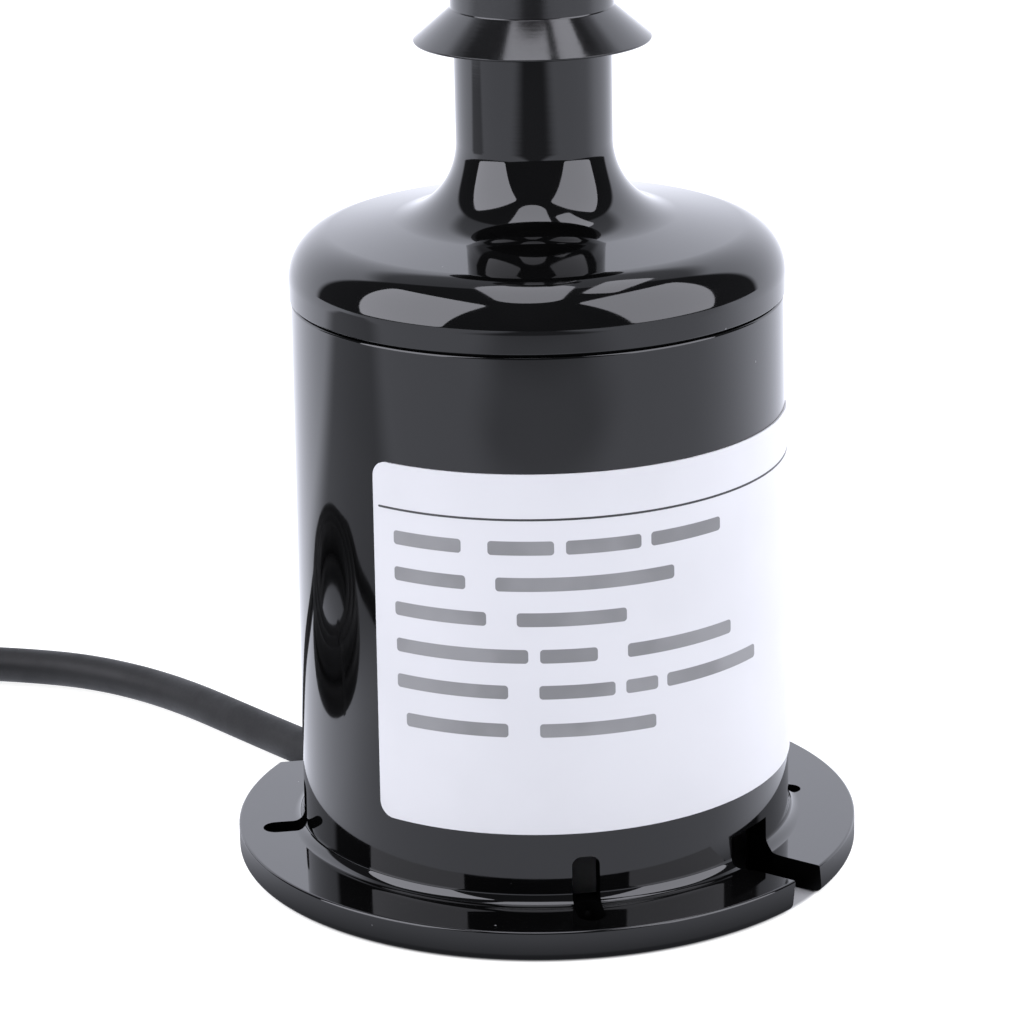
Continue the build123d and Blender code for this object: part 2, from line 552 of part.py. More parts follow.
with BuildPart() as lead_coil:
    coil_plane = Plane(origin=(*COIL_CENTRE, 0), x_dir=(1, 0, 0), z_dir=(0, -1, 0))
    with BuildSketch(coil_plane):
        Polygon(
            (COIL_IN_R, COIL_EDGE), (COIL_IN_R + COIL_EDGE, 0), (COIL_OUT_R - COIL_EDGE, 0),
            (COIL_OUT_R, COIL_EDGE), *COIL_CROWN, align=None,
        )
    revolve(axis=Axis((*COIL_CENTRE, 0), (0, 0, 1)))
save(lead_coil.part, "lead_coil")

CORE_STARTS = ((-0.7, -0.7), (-0.7, 0.7), (0.7, 0.7), (0.7, -0.7))   # across and above the middle
CORE_FAN = (-5.5, -1.8, 1.8, 5.5)                                    # how far each core splays

with BuildPart() as lead_cores:
    end = Vector(*TAIL_ROUTE[-1])
    heading = (end - Vector(*TAIL_ROUTE[-2])).normalized()
    side = Vector(-heading.Y, heading.X, 0)
    for (across, up), fan in zip(CORE_STARTS, CORE_FAN):
        start = end + side * across + Vector(0, 0, up)
        stop = end + heading * CORE_L + side * fan
        stop = Vector(stop.X, stop.Y, CORE_R + 0.02)
        with BuildSketch(Plane(origin=start, z_dir=stop - start)):
            Circle(CORE_R)
        extrude(amount=(stop - start).length)
save(lead_cores.part, "lead_cores")

# ---------------------------------------------------------------- bearings
RING_INNER_OUT_R, RING_OUTER_IN_R = 3.75, 5.35
SHIELD_IN_R, SHIELD_T = 4.1, 0.2
CAGE_IN_R, CAGE_OUT_R, CAGE_LOW, CAGE_HIGH = 4.2, 4.9, 0.62, 2.1
SHIELD_INSET = 0.1


def race(name, r_in, r_out, z):
    """One bearing ring with its ball groove."""
    with BuildPart() as piece:
        with BuildSketch(Plane.XZ):
            with Locations(((r_in + r_out) / 2, z + BEARING_W / 2)):
                Rectangle(r_out - r_in, BEARING_W)
            with Locations((BALL_PITCH_R, z + BEARING_W / 2)):
                Circle(BALL_R + RACE_PLAY, mode=Mode.SUBTRACT)
        revolve(axis=Axis.Z)
    save(piece.part, name)


def balls(name, z):
    """The balls of one bearing."""
    with BuildPart() as piece:
        with Locations((0, 0, z + BEARING_W / 2)):
            with PolarLocations(BALL_PITCH_R, BALL_COUNT):
                Sphere(BALL_R)
    save(piece.part, name)


def cage(name, z):
    """The crown that keeps the balls apart."""
    with BuildPart() as piece:
        with BuildSketch(Plane.XY.offset(z + CAGE_LOW)):
            Circle(CAGE_OUT_R)
            Circle(CAGE_IN_R, mode=Mode.SUBTRACT)
        extrude(amount=CAGE_HIGH - CAGE_LOW)
        with Locations((0, 0, z + BEARING_W / 2)):
            with PolarLocations(BALL_PITCH_R, BALL_COUNT):
                Sphere(BALL_R + RACE_PLAY, mode=Mode.SUBTRACT)
    save(piece.part, name)


for place, bearing_z in (("upper", UPPER_BEARING_Z), ("lower", LOWER_BEARING_Z)):
    race(f"{place}_bearing_outer_ring", RING_OUTER_IN_R, BEARING_OD_R, bearing_z)
    race(f"{place}_bearing_inner_ring", BEARING_ID_R, RING_INNER_OUT_R, bearing_z)
    balls(f"{place}_bearing_balls", bearing_z)
    cage(f"{place}_bearing_cage", bearing_z)

with BuildPart() as bearing_shields:
    for bearing_z in (UPPER_BEARING_Z, LOWER_BEARING_Z):
        for z in (bearing_z + SHIELD_INSET, bearing_z + BEARING_W - SHIELD_INSET - SHIELD_T):
            with BuildSketch(Plane.XY.offset(z)):
                Circle(RING_OUTER_IN_R)
                Circle(SHIELD_IN_R, mode=Mode.SUBTRACT)
            extrude(amount=SHIELD_T)
save(bearing_shields.part, "bearing_shields")

CIRCLIP_IN_R, EAR_R, EAR_HOLE_R = 5.6, 1.0, 0.5
EAR_X, EAR_Y = -5.5, 2.0     # the ears stand either side of the gap at -X

with BuildPart() as bearing_circlips:
    for z in (upper_groove_z, lower_groove_z):
        with BuildSketch(Plane.XY.offset(z)):
            Circle(CIRCLIP_GROOVE_R - CLIP_PLAY)
            Circle(CIRCLIP_IN_R, mode=Mode.SUBTRACT)
            with Locations((-CIRCLIP_GROOVE_R, 0)):
                Rectangle(2 * (CIRCLIP_GROOVE_R + EAR_X + EAR_HOLE_R), 2.4, mode=Mode.SUBTRACT)
            with Locations((EAR_X, EAR_Y), (EAR_X, -EAR_Y)):
                Circle(EAR_R)
                Circle(EAR_HOLE_R, mode=Mode.SUBTRACT)
        extrude(amount=CIRCLIP_T - CLIP_PLAY)
save(bearing_circlips.part, "bearing_circlips")

SPACER_R = 3.5
ring("bearing_spacer", SHAFT_R, SPACER_R, LOWER_BEARING_Z + BEARING_W, UPPER_BEARING_Z)

# ---------------------------------------------------------------- shaft and slotted disc
SHAFT_CHAMFER = 0.4
CLIP_GROOVE_R, CLIP_Z, CLIP_T = 2.1, LOWER_BEARING_Z - 0.65, 0.6
CLIP_R, CLIP_MOUTH_W = 4.0, 2.6
DISC_WINDOWS, WINDOW_IN_R, WINDOW_OUT_R, WINDOW_W = 16, 8.6, 11.0, 1.7
COLLAR_R, COLLAR_L, COLLAR_CHAMFER, COLLAR_SCREW_R = 5.5, 6.5, 0.5, 1.25
PIN_SCREW_Z = DISC_Z + DISC_T + COLLAR_L / 2
NUT_FLATS, NUT_THIN_H = 8.0, 2.7

with BuildPart() as rotor_shaft:
    with BuildSketch(Plane.XY.offset(SHAFT_BOTTOM_Z)):
        Circle(SHAFT_R)
    extrude(amount=SHAFT_TOP_Z - SHAFT_BOTTOM_Z)
    chamfer(rotor_shaft.edges().filter_by(GeomType.CIRCLE), SHAFT_CHAMFER)
    with BuildSketch(Plane.XY.offset(CLIP_Z)):
        Circle(SHAFT_R + 1)
        Circle(CLIP_GROOVE_R, mode=Mode.SUBTRACT)
    extrude(amount=CLIP_T, mode=Mode.SUBTRACT)
save(rotor_shaft.part, "rotor_shaft")

with BuildPart() as shaft_circlip:
    with BuildSketch(Plane.XY.offset(CLIP_Z)):
        Circle(CLIP_R)
        Circle(CLIP_GROOVE_R, mode=Mode.SUBTRACT)
        with Locations((CLIP_R, 0)):
            Rectangle(2 * (CLIP_R - CLIP_GROOVE_R + 1), CLIP_MOUTH_W, mode=Mode.SUBTRACT)
    extrude(amount=CLIP_T - CLIP_PLAY)
save(shaft_circlip.part, "shaft_circlip")

with BuildPart() as slotted_disc:
    with BuildSketch(Plane.XY.offset(DISC_Z)):
        Circle(DISC_R)
        Circle(SHAFT_R, mode=Mode.SUBTRACT)
        with PolarLocations((WINDOW_IN_R + WINDOW_OUT_R) / 2, DISC_WINDOWS):
            Rectangle(WINDOW_OUT_R - WINDOW_IN_R, WINDOW_W, mode=Mode.SUBTRACT)
    extrude(amount=DISC_T)
save(slotted_disc.part, "slotted_disc")

with BuildPart() as disc_collar:
    with BuildSketch(Plane.XY.offset(DISC_Z + DISC_T)):
        Circle(COLLAR_R)
        Circle(SHAFT_R, mode=Mode.SUBTRACT)
    extrude(amount=COLLAR_L)
    chamfer(disc_collar.edges().group_by(Axis.Z)[-1].sort_by(SortBy.RADIUS)[-1], COLLAR_CHAMFER)
    with BuildSketch(radial_plane(90.0, PIN_SCREW_Z)):
        Circle(COLLAR_SCREW_R)
    extrude(amount=COLLAR_R + 1, mode=Mode.SUBTRACT)
save(disc_collar.part, "disc_collar")

with BuildPart() as disc_nut:
    with BuildSketch(Plane.XY.offset(DISC_Z - NUT_THIN_H)):
        RegularPolygon(NUT_FLATS / 2, 6, major_radius=False)
        Circle(SHAFT_R, mode=Mode.SUBTRACT)
    extrude(amount=NUT_THIN_H)
save(disc_nut.part, "disc_nut")


def grub_screw(name, deg, z, radius, r_in, r_out):
    """A socket set screw that lies along a radius."""
    with BuildPart() as piece:
        with BuildSketch(radial_plane(deg, z, r_in)):
            Circle(radius)
        extrude(amount=r_out - r_in)
        with BuildSketch(radial_plane(deg, z, r_out)):
            RegularPolygon(radius / 2, 6, major_radius=False)
        extrude(amount=-radius, mode=Mode.SUBTRACT)
    save(piece.part, name)


grub_screw("collar_grub_screw", 90.0, PIN_SCREW_Z, COLLAR_SCREW_R, SHAFT_R, COLLAR_R - 0.3)

# ---------------------------------------------------------------- rotor hub
HUB_CEILING_Z, NOSE_R = 109.0, 3.55
HEAD_LOW_Z, HEAD_NECK_Z, HEAD_EDGE_R = 141.0, 137.5, 2.5
SKIRT_WALL, SKIRT_LIP = 1.0, 0.25
ARM_IN_R = 4.0
HUB_SCREW_Z, HUB_SCREW_DEG, HUB_SCREW_R, HUB_SCREW_L = 121.0, 30.0, 2.0, 6.0
ARM_SCREW_R, ARM_SCREW_L, ARM_SCREW_AT = 1.5, 4.0, 8.6

with BuildPart() as rotor_hub:
    with BuildSketch(Plane.XZ):
        with BuildLine():
            Polyline(
                (SHAFT_R, UPPER_BEARING_Z + BEARING_W), (NOSE_R, UPPER_BEARING_Z + BEARING_W),
                (NOSE_R, HUB_CEILING_Z), (HUB_R - SKIRT_WALL, HUB_CEILING_Z),
                (SKIRT_R - SKIRT_WALL - SKIRT_LIP, SKIRT_Z - SKIRT_LIP),
                (SKIRT_R - SKIRT_LIP, SKIRT_Z - SKIRT_LIP), (SKIRT_R, SKIRT_Z),
                (HUB_R, HUB_SKIRT_Z), (HUB_R, HEAD_NECK_Z),
                (HEAD_R, HEAD_LOW_Z), (HEAD_R, HUB_TOP_Z - HEAD_EDGE_R),
            )
            RadiusArc(
                (HEAD_R, HUB_TOP_Z - HEAD_EDGE_R), (HEAD_R - HEAD_EDGE_R, HUB_TOP_Z), -HEAD_EDGE_R
            )
            Polyline(
                (HEAD_R - HEAD_EDGE_R, HUB_TOP_Z), (SHAFT_R, HUB_TOP_Z),
                (SHAFT_R, UPPER_BEARING_Z + BEARING_W),
            )
        make_face()
    revolve(axis=Axis.Z)
    for deg in ARM_DEGS:
        with BuildSketch(radial_plane(deg, ARM_Z, ARM_IN_R)):
            Circle(ARM_R)
        extrude(amount=HEAD_R, mode=Mode.SUBTRACT)
    with BuildSketch(Plane.XY.offset(HUB_TOP_Z)):
        with PolarLocations(ARM_SCREW_AT, len(ARM_DEGS), start_angle=ARM_DEGS[0]):
            Circle(ARM_SCREW_R)
    extrude(amount=ARM_Z - HUB_TOP_Z, mode=Mode.SUBTRACT)
    with BuildSketch(radial_plane(HUB_SCREW_DEG, HUB_SCREW_Z)):
        Circle(HUB_SCREW_R)
    extrude(amount=HUB_R + 1, mode=Mode.SUBTRACT)
save(rotor_hub.part, "rotor_hub")

grub_screw(
    "hub_grub_screw", HUB_SCREW_DEG, HUB_SCREW_Z, HUB_SCREW_R, SHAFT_R, SHAFT_R + HUB_SCREW_L
)

with BuildPart() as arm_grub_screws:
    with PolarLocations(ARM_SCREW_AT, len(ARM_DEGS), start_angle=ARM_DEGS[0]):
        with Locations((0, 0, ARM_Z + ARM_R)):
            Cylinder(ARM_SCREW_R, ARM_SCREW_L, align=ON_BASE)
        with Locations((0, 0, ARM_Z + ARM_R + ARM_SCREW_L)):
            Cylinder(ARM_SCREW_R / 2, ARM_SCREW_R, align=UNDER_BASE, mode=Mode.SUBTRACT)
save(arm_grub_screws.part, "arm_grub_screws")

# ---------------------------------------------------------------- arms and cups
SOCKET_R, SOCKET_IN_R, ARM_OUT_R = 4.2, 40.0, 45.9
CUP_PIN_R, CUP_PIN_AT = 1.0, 42.6
BEAD_R, BEAD_INSET, BEAD_RISE = 1.1, 0.2, 1.05
DOME_BITE = 3.5              # how far the socket runs into the dome


def arm(name, deg):
    """One rod from the hub to a cup's socket."""
    with BuildPart() as piece:
        with BuildSketch(radial_plane(deg, ARM_Z, ARM_IN_R)):
            Circle(ARM_R)
        extrude(amount=ARM_OUT_R - ARM_IN_R)
        with BuildSketch(Plane.XY.offset(ARM_Z - ARM_R - 1)):
            with PolarLocations(CUP_PIN_AT, 1, start_angle=deg):
                Circle(CUP_PIN_R)
        extrude(amount=2 * ARM_R + 2, mode=Mode.SUBTRACT)
    save(piece.part, name)


def cup(name, deg):
    """One hemispherical cup with a rolled rim and the socket that its arm is pinned in."""
    along = (-sin(radians(deg)), cos(radians(deg)), 0)
    centre = Vector(*polar(CUP_RADIAL, deg, ARM_Z)) - Vector(*along) * CUP_OFFSET
    section = Plane(origin=centre, x_dir=polar(1, deg), z_dir=(0, 0, 1))
    with BuildPart() as piece:
        with BuildSketch(radial_plane(deg, ARM_Z, SOCKET_IN_R)):
            Circle(SOCKET_R)
        extrude(amount=CUP_RADIAL - CUP_R - SOCKET_IN_R + DOME_BITE)
        with BuildSketch(section):
            with BuildLine():
                CenterArc((0, 0), CUP_R, 0, 90)
                Polyline((0, CUP_R), (0, 0), (CUP_R, 0))
            make_face()
            with Locations((CUP_R - BEAD_INSET, BEAD_RISE)):
                Circle(BEAD_R)
        revolve(axis=Axis(centre, along))
        with Locations(centre):
            Sphere(CUP_R - CUP_WALL, mode=Mode.SUBTRACT)
        with BuildSketch(radial_plane(deg, ARM_Z, SOCKET_IN_R)):
            Circle(ARM_R)
        extrude(amount=ARM_OUT_R - SOCKET_IN_R, mode=Mode.SUBTRACT)
        with BuildSketch(Plane.XY.offset(ARM_Z - SOCKET_R - 1)):
            with PolarLocations(CUP_PIN_AT, 1, start_angle=deg):
                Circle(CUP_PIN_R)
        extrude(amount=2 * SOCKET_R + 2, mode=Mode.SUBTRACT)
    save(piece.part, name)


for number, arm_deg in enumerate(ARM_DEGS, 1):
    arm(f"cup_arm_{number}", arm_deg)
    cup(f"cup_{number}", arm_deg)

with BuildPart() as cup_pins:
    with BuildSketch(Plane.XY.offset(ARM_Z - SOCKET_R)):
        with PolarLocations(CUP_PIN_AT, len(ARM_DEGS), start_angle=ARM_DEGS[0]):
            Circle(CUP_PIN_R)
    extrude(amount=2 * SOCKET_R)
save(cup_pins.part, "cup_pins")

# ---------------------------------------------------------------- top fixing
WASHER_R, WASHER_T, WASHER_PLAY = 5.3, 1.0, 0.1
NUT_H, DOME_R, NUT_BORE_SPARE = 4.0, 3.9, 0.6

nut_z = HUB_TOP_Z + WASHER_T

ring("top_washer", SHAFT_R + WASHER_PLAY, WASHER_R, HUB_TOP_Z, nut_z)

with BuildPart() as acorn_nut:
    with BuildSketch(Plane.XY.offset(nut_z)):
        RegularPolygon(NUT_FLATS / 2, 6, major_radius=False)
    extrude(amount=NUT_H)
    with Locations((0, 0, nut_z + NUT_H)):
        Sphere(DOME_R)
    with BuildSketch(Plane.XY.offset(nut_z)):
        Circle(SHAFT_R)
    extrude(amount=SHAFT_TOP_Z - nut_z + NUT_BORE_SPARE, mode=Mode.SUBTRACT)
save(acorn_nut.part, "acorn_nut")
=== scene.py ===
"""Looks of a cup anemometer: a gloss black housing on a slotted flange, a satin rotor with three
cups, a printed label, and the lead wound into a coil behind it.

Shapes are worked out in millimetres, in the row frame, and written to meshes in metres.
"""

import json
from math import cos, degrees, pi, radians, sin, sqrt

import bmesh
import bpy
from mathutils import Matrix, Vector

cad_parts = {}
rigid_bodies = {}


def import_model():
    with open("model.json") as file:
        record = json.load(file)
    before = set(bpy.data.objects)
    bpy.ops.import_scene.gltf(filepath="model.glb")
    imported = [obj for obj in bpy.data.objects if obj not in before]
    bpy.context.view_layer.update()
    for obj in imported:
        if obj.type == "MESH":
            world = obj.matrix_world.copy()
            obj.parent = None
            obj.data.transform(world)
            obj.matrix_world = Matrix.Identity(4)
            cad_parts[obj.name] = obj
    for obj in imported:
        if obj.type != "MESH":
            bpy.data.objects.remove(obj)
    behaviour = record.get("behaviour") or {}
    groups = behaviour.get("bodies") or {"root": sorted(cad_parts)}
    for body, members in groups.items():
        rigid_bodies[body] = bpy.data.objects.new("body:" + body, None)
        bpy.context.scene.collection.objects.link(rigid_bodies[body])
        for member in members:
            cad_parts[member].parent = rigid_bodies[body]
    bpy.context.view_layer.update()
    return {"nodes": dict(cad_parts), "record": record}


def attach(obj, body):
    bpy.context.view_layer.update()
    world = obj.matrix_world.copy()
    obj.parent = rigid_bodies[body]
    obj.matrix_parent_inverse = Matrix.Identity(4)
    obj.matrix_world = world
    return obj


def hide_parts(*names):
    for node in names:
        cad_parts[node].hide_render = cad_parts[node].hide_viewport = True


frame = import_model()
scene = bpy.context.scene

MM = 0.001
SEGMENTS = 288               # sides of a turned surface
SHARP = radians(30)


# ------------------------------------------------------------------ camera
CAMERA_AT = Vector((-0.07011, -0.46359, 0.19576))
CAMERA_YAW, CAMERA_PITCH, CAMERA_ROLL = 0.1422, 0.3122, -0.0207
CAMERA_LENS = 136.19


def make_camera():
    """The camera looks a little down at the housing's front, from the photograph's angle."""
    yaw, pitch, roll = CAMERA_YAW, CAMERA_PITCH, CAMERA_ROLL
    ahead = Vector((sin(yaw) * cos(pitch), cos(yaw) * cos(pitch), -sin(pitch)))
    level = Vector((cos(yaw), -sin(yaw), 0))
    up = level.cross(ahead)
    right = cos(roll) * level + sin(roll) * up
    up = -sin(roll) * level + cos(roll) * up
    camera = bpy.data.objects.new("camera", bpy.data.cameras.new("camera"))
    camera.data.lens = CAMERA_LENS
    camera.data.clip_start, camera.data.clip_end = 0.02, 60.0
    turn = Matrix((right, up, -ahead)).transposed()
    camera.matrix_world = Matrix.Translation(CAMERA_AT) @ turn.to_4x4()
    scene.collection.objects.link(camera)
    scene.camera = camera


# ------------------------------------------------------------------ node materials
def node(tree, kind, inputs=None, **settings):
    """A shader node with its settings, and its inputs linked or set."""
    made = tree.nodes.new(kind)
    for key, value in settings.items():
        setattr(made, key, value)
    for key, value in (inputs or {}).items():
        if isinstance(value, bpy.types.NodeSocket):
            tree.links.new(value, made.inputs[key])
        else:
            made.inputs[key].default_value = value
    return made


def noise(tree, place, scale, detail=3.0, rough=0.55):
    """Fractal noise from 0 to 1."""
    made = node(tree, "ShaderNodeTexNoise", {
        "Vector": place, "Scale": scale, "Detail": detail, "Roughness": rough,
    })
    return made.outputs["Fac"]


def ramp(tree, value, low, high, to_low=0.0, to_high=1.0):
    """A value mapped from one range to another, and kept inside it."""
    made = node(tree, "ShaderNodeMapRange", {
        "Value": value, "From Min": low, "From Max": high, "To Min": to_low, "To Max": to_high,
    }, interpolation_type="SMOOTHSTEP")
    return made.outputs["Result"]


def math(tree, operation, first, second=0.0):
    """One arithmetic step."""
    return node(tree, "ShaderNodeMath", {0: first, 1: second}, operation=operation).outputs[0]


def mix_colour(tree, share, first, second):
    """One colour laid over another."""
    made = node(tree, "ShaderNodeMix", data_type="RGBA")
    for socket, value in (("Factor_Float", share), ("A_Color", first), ("B_Color", second)):
        target = next(s for s in made.inputs if s.identifier == socket)
        if isinstance(value, bpy.types.NodeSocket):
            tree.links.new(value, target)
        else:
            target.default_value = value
    return next(s for s in made.outputs if s.identifier == "Result_Color")


def blend(tree, share, off, on):
    """The first value where the share is zero, and the second where it is one."""
    rest = math(tree, "MULTIPLY", math(tree, "SUBTRACT", 1.0, share), off)
    return math(tree, "ADD", math(tree, "MULTIPLY", share, on), rest)


def between(tree, value, start, full, ending, gone):
    """One inside a range and zero outside it, with soft ends."""
    return math(tree, "MULTIPLY", ramp(tree, value, start, full),
                ramp(tree, value, ending, gone, 1.0, 0.0))


def rgba(colour):
    """A colour with full alpha: one number is a grey."""
    if isinstance(colour, (int, float)):
        colour = (colour, colour, colour)
    return (*colour, 1.0)


DUST_PER_M, DUST_FROM, DUST_TO, DUST_ROUGH = 420.0, 0.075, 0.03, 0.4
MARK_SQUEEZE = (0.02, 0.02, 1.0)   # turning marks are noise that is drawn out round the axis
LEAST_ROUGH = 0.02


def surface(name, base, shade, rough, rough_spread=0.05, metallic=0.0, ior=1.5, mottle=70.0,
            grain=2500.0, bump=0.05, bump_mm=0.02, stretch=(1, 1, 1), dust=0.0, dust_grey=0.18,
            marks=None, waves=None):
    """A material with mottled colour, uneven gloss and a fine surface texture.

    dust adds pale specks. marks = (from height, full height, lines per metre, depth in mm) adds
    turning marks above a height. waves = (per metre, depth in mm) adds a slow moulded unevenness.
    """
    made = bpy.data.materials.new(name)
    made.use_nodes = True
    tree = made.node_tree
    shader = tree.nodes["Principled BSDF"]
    place = node(tree, "ShaderNodeTexCoord").outputs["Object"]
    drawn = node(tree, "ShaderNodeMapping", {"Vector": place, "Scale": stretch}).outputs["Vector"]
    patches = ramp(tree, noise(tree, place, mottle), 0.35, 0.65)
    fine = noise(tree, drawn, grain, detail=4.0)
    colour = mix_colour(tree, patches, rgba(base), rgba(shade))
    gloss = math(tree, "ADD", ramp(tree, noise(tree, drawn, mottle * 2.3), 0.3, 0.7,
                                   rough - rough_spread, rough + rough_spread),
                 ramp(tree, fine, 0.3, 0.7, -rough_spread / 3, rough_spread / 3))
    if dust:
        cells = node(tree, "ShaderNodeTexVoronoi", {"Vector": place, "Scale": DUST_PER_M})
        picked = ramp(tree, node(tree, "ShaderNodeSeparateColor", {
            "Color": cells.outputs["Color"]}).outputs[0], 1.0 - dust, 1.01 - dust)
        near = ramp(tree, cells.outputs["Distance"], DUST_TO, DUST_FROM, 1.0, 0.0)
        speck = math(tree, "MULTIPLY", picked, near)
        colour = mix_colour(tree, speck, colour, rgba(dust_grey))
        gloss = math(tree, "ADD", gloss, math(tree, "MULTIPLY", speck, DUST_ROUGH))
    tree.links.new(colour, shader.inputs["Base Color"])
    tree.links.new(math(tree, "MAXIMUM", gloss, LEAST_ROUGH), shader.inputs["Roughness"])
    shader.inputs["Metallic"].default_value = metallic
    shader.inputs["IOR"].default_value = ior
    normal = node(tree, "ShaderNodeBump", {
        "Strength": bump, "Distance": bump_mm * MM, "Height": fine}).outputs["Normal"]
    if marks:
        start, full, per_m, depth = marks
        height = node(tree, "ShaderNodeSeparateXYZ", {"Vector": place}).outputs["Z"]
        turned = node(tree, "ShaderNodeMapping", {
            "Vector": place, "Scale": MARK_SQUEEZE}).outputs["Vector"]
        lines = noise(tree, turned, per_m, detail=2.0)
        raised = math(tree, "MULTIPLY", lines, ramp(tree, height, start * MM, full * MM))
        normal = node(tree, "ShaderNodeBump", {
            "Strength": 1.0, "Distance": depth * MM, "Height": raised, "Normal": normal,
        }).outputs["Normal"]
    if waves:
        per_m, depth = waves
        slow = noise(tree, place, per_m, detail=1.0)
        normal = node(tree, "ShaderNodeBump", {
            "Strength": 1.0, "Distance": depth * MM, "Height": slow, "Normal": normal,
        }).outputs["Normal"]
    tree.links.new(normal, shader.inputs["Normal"])
    return made


MATERIALS = {
    "gloss_black_plastic": surface(
        "gloss_black_plastic", 0.0012, 0.0022, 0.045, 0.015, ior=1.58, dust=0.06, bump=0.03,
        bump_mm=0.004, marks=(92.7, 92.9, 2600, 0.0025), waves=(60, 0.02)),
    "moulded_black_cover": surface(
        "moulded_black_cover", 0.010, 0.016, 0.38, 0.06, bump=0.25, grain=3000, dust=0.03),
    "satin_black_rotor": surface(
        "satin_black_rotor", 0.006, 0.010, 0.12, 0.03, ior=1.6, bump=0.12, grain=2200, dust=0.03,
        marks=(100, 101, 3800, 0.004)),
    "cup_black": surface(
        "cup_black", 0.009, 0.014, 0.24, 0.05, bump=0.12, grain=2200, dust=0.04,
        waves=(50, 0.02)),
    "satin_black_arm": surface(
        "satin_black_arm", 0.011, 0.018, 0.30, 0.06, bump=0.15, grain=1800),
    "stainless_steel": surface(
        "stainless_steel", 0.52, 0.62, 0.24, 0.06, metallic=1.0, bump=0.12, bump_mm=0.01,
        stretch=(0.1, 0.1, 1.0)),
    "black_oxide_steel": surface(
        "black_oxide_steel", 0.045, 0.07, 0.36, 0.07, metallic=0.9, bump=0.2, bump_mm=0.01),
    "bearing_steel": surface(
        "bearing_steel", 0.58, 0.66, 0.13, 0.04, metallic=1.0, bump=0.05, bump_mm=0.005),
    "cage_polyamide": surface(
        "cage_polyamide", (0.55, 0.50, 0.40), (0.62, 0.58, 0.48), 0.42, bump=0.15),
    "ground_shaft_steel": surface(
        "ground_shaft_steel", 0.55, 0.60, 0.20, 0.04, metallic=1.0, bump=0.1, bump_mm=0.005,
        stretch=(0.05, 0.05, 1.0)),
    "turned_aluminium": surface(
        "turned_aluminium", 0.60, 0.68, 0.28, 0.05, metallic=1.0, bump=0.15, bump_mm=0.01,
        stretch=(0.05, 0.05, 1.0)),
    "disc_steel": surface(
        "disc_steel", 0.30, 0.38, 0.30, 0.06, metallic=1.0, bump=0.15, bump_mm=0.01),
    "seal_rubber": surface(
        "seal_rubber", 0.012, 0.02, 0.6, 0.08, bump=0.3, grain=4000),
    "printed_label": surface(
        "printed_label", (0.645, 0.645, 0.65), (0.67, 0.67, 0.675), 0.42, 0.05, bump=0.05,
        bump_mm=0.004, mottle=40),
    "label_ink": surface(
        "label_ink", 0.20, 0.26, 0.5, 0.05, bump=0.05, grain=6000),
    "rule_ink": surface(
        "rule_ink", 0.03, 0.05, 0.5, 0.05, bump=0.05, grain=6000),
    "board_laminate": surface(
        "board_laminate", (0.01, 0.09, 0.035), (0.015, 0.12, 0.05), 0.35, bump=0.2, mottle=400),
    "component_black": surface(
        "component_black", 0.015, 0.025, 0.45, bump=0.2, grain=5000),
    "terminal_green": surface(
        "terminal_green", (0.02, 0.24, 0.09), (0.03, 0.28, 0.11), 0.38, bump=0.15),
    "capacitor_sleeve": surface(
        "capacitor_sleeve", (0.02, 0.02, 0.06), (0.03, 0.03, 0.08), 0.3, bump=0.1),
    "cable_jacket": surface(
        "cable_jacket", 0.0025, 0.005, 0.60, 0.07, ior=1.45, bump=0.25, bump_mm=0.03, grain=2600,
        dust=0.03, waves=(45, 0.05)),
    "tie_nylon": surface(
        "tie_nylon", 0.012, 0.018, 0.35, 0.06, bump=0.2, grain=3500),
    "copper_strands": surface(
        "copper_strands", (0.72, 0.36, 0.20), (0.80, 0.45, 0.28), 0.32, 0.08, metallic=1.0,
        bump=0.5, bump_mm=0.05, stretch=(3, 0.3, 1), grain=4000),
}
CORE_COLOURS = (
    ("brown", (0.16, 0.055, 0.02)), ("black", (0.012, 0.012, 0.013)),
    ("blue", (0.02, 0.09, 0.42)), ("yellow", (0.75, 0.55, 0.03)),
)
for core_name, core_colour in CORE_COLOURS:
    darker = tuple(0.85 * value for value in core_colour)
    MATERIALS[f"core_{core_name}"] = surface(
        f"core_{core_name}", core_colour, darker, 0.38, bump=0.15, grain=4000)
MATERIALS["core_insulation"] = MATERIALS["core_black"]


# ------------------------------------------------------------------ mesh helpers
def polar(radius, deg, z=0.0):
    """A point at a radius and an angle about the rotor's axis."""
    return Vector((radius * cos(radians(deg)), radius * sin(radians(deg)), z))


def arc(centre, radius, start_deg, stop_deg, steps):
    """Points along an arc, both ends included."""
    turn = (stop_deg - start_deg) / steps
    return [(centre[0] + radius * cos(radians(start_deg + i * turn)),
             centre[1] + radius * sin(radians(start_deg + i * turn))) for i in range(steps + 1)]


def radial_frame(deg, z=0.0, radius=0.0):
    """A frame whose Z points outward along a direction, with its Y up."""
    out, side = polar(1, deg), polar(1, deg + 90)
    turn = Matrix((side, Vector((0, 0, 1)), out)).transposed().to_4x4()
    return Matrix.Translation(polar(radius, deg, z)) @ turn


def plan_frame(deg, z=0.0):
    """A frame whose X points outward along a direction, with its Z up."""
    return Matrix.Translation((0, 0, z)) @ Matrix.Rotation(radians(deg), 4, "Z")


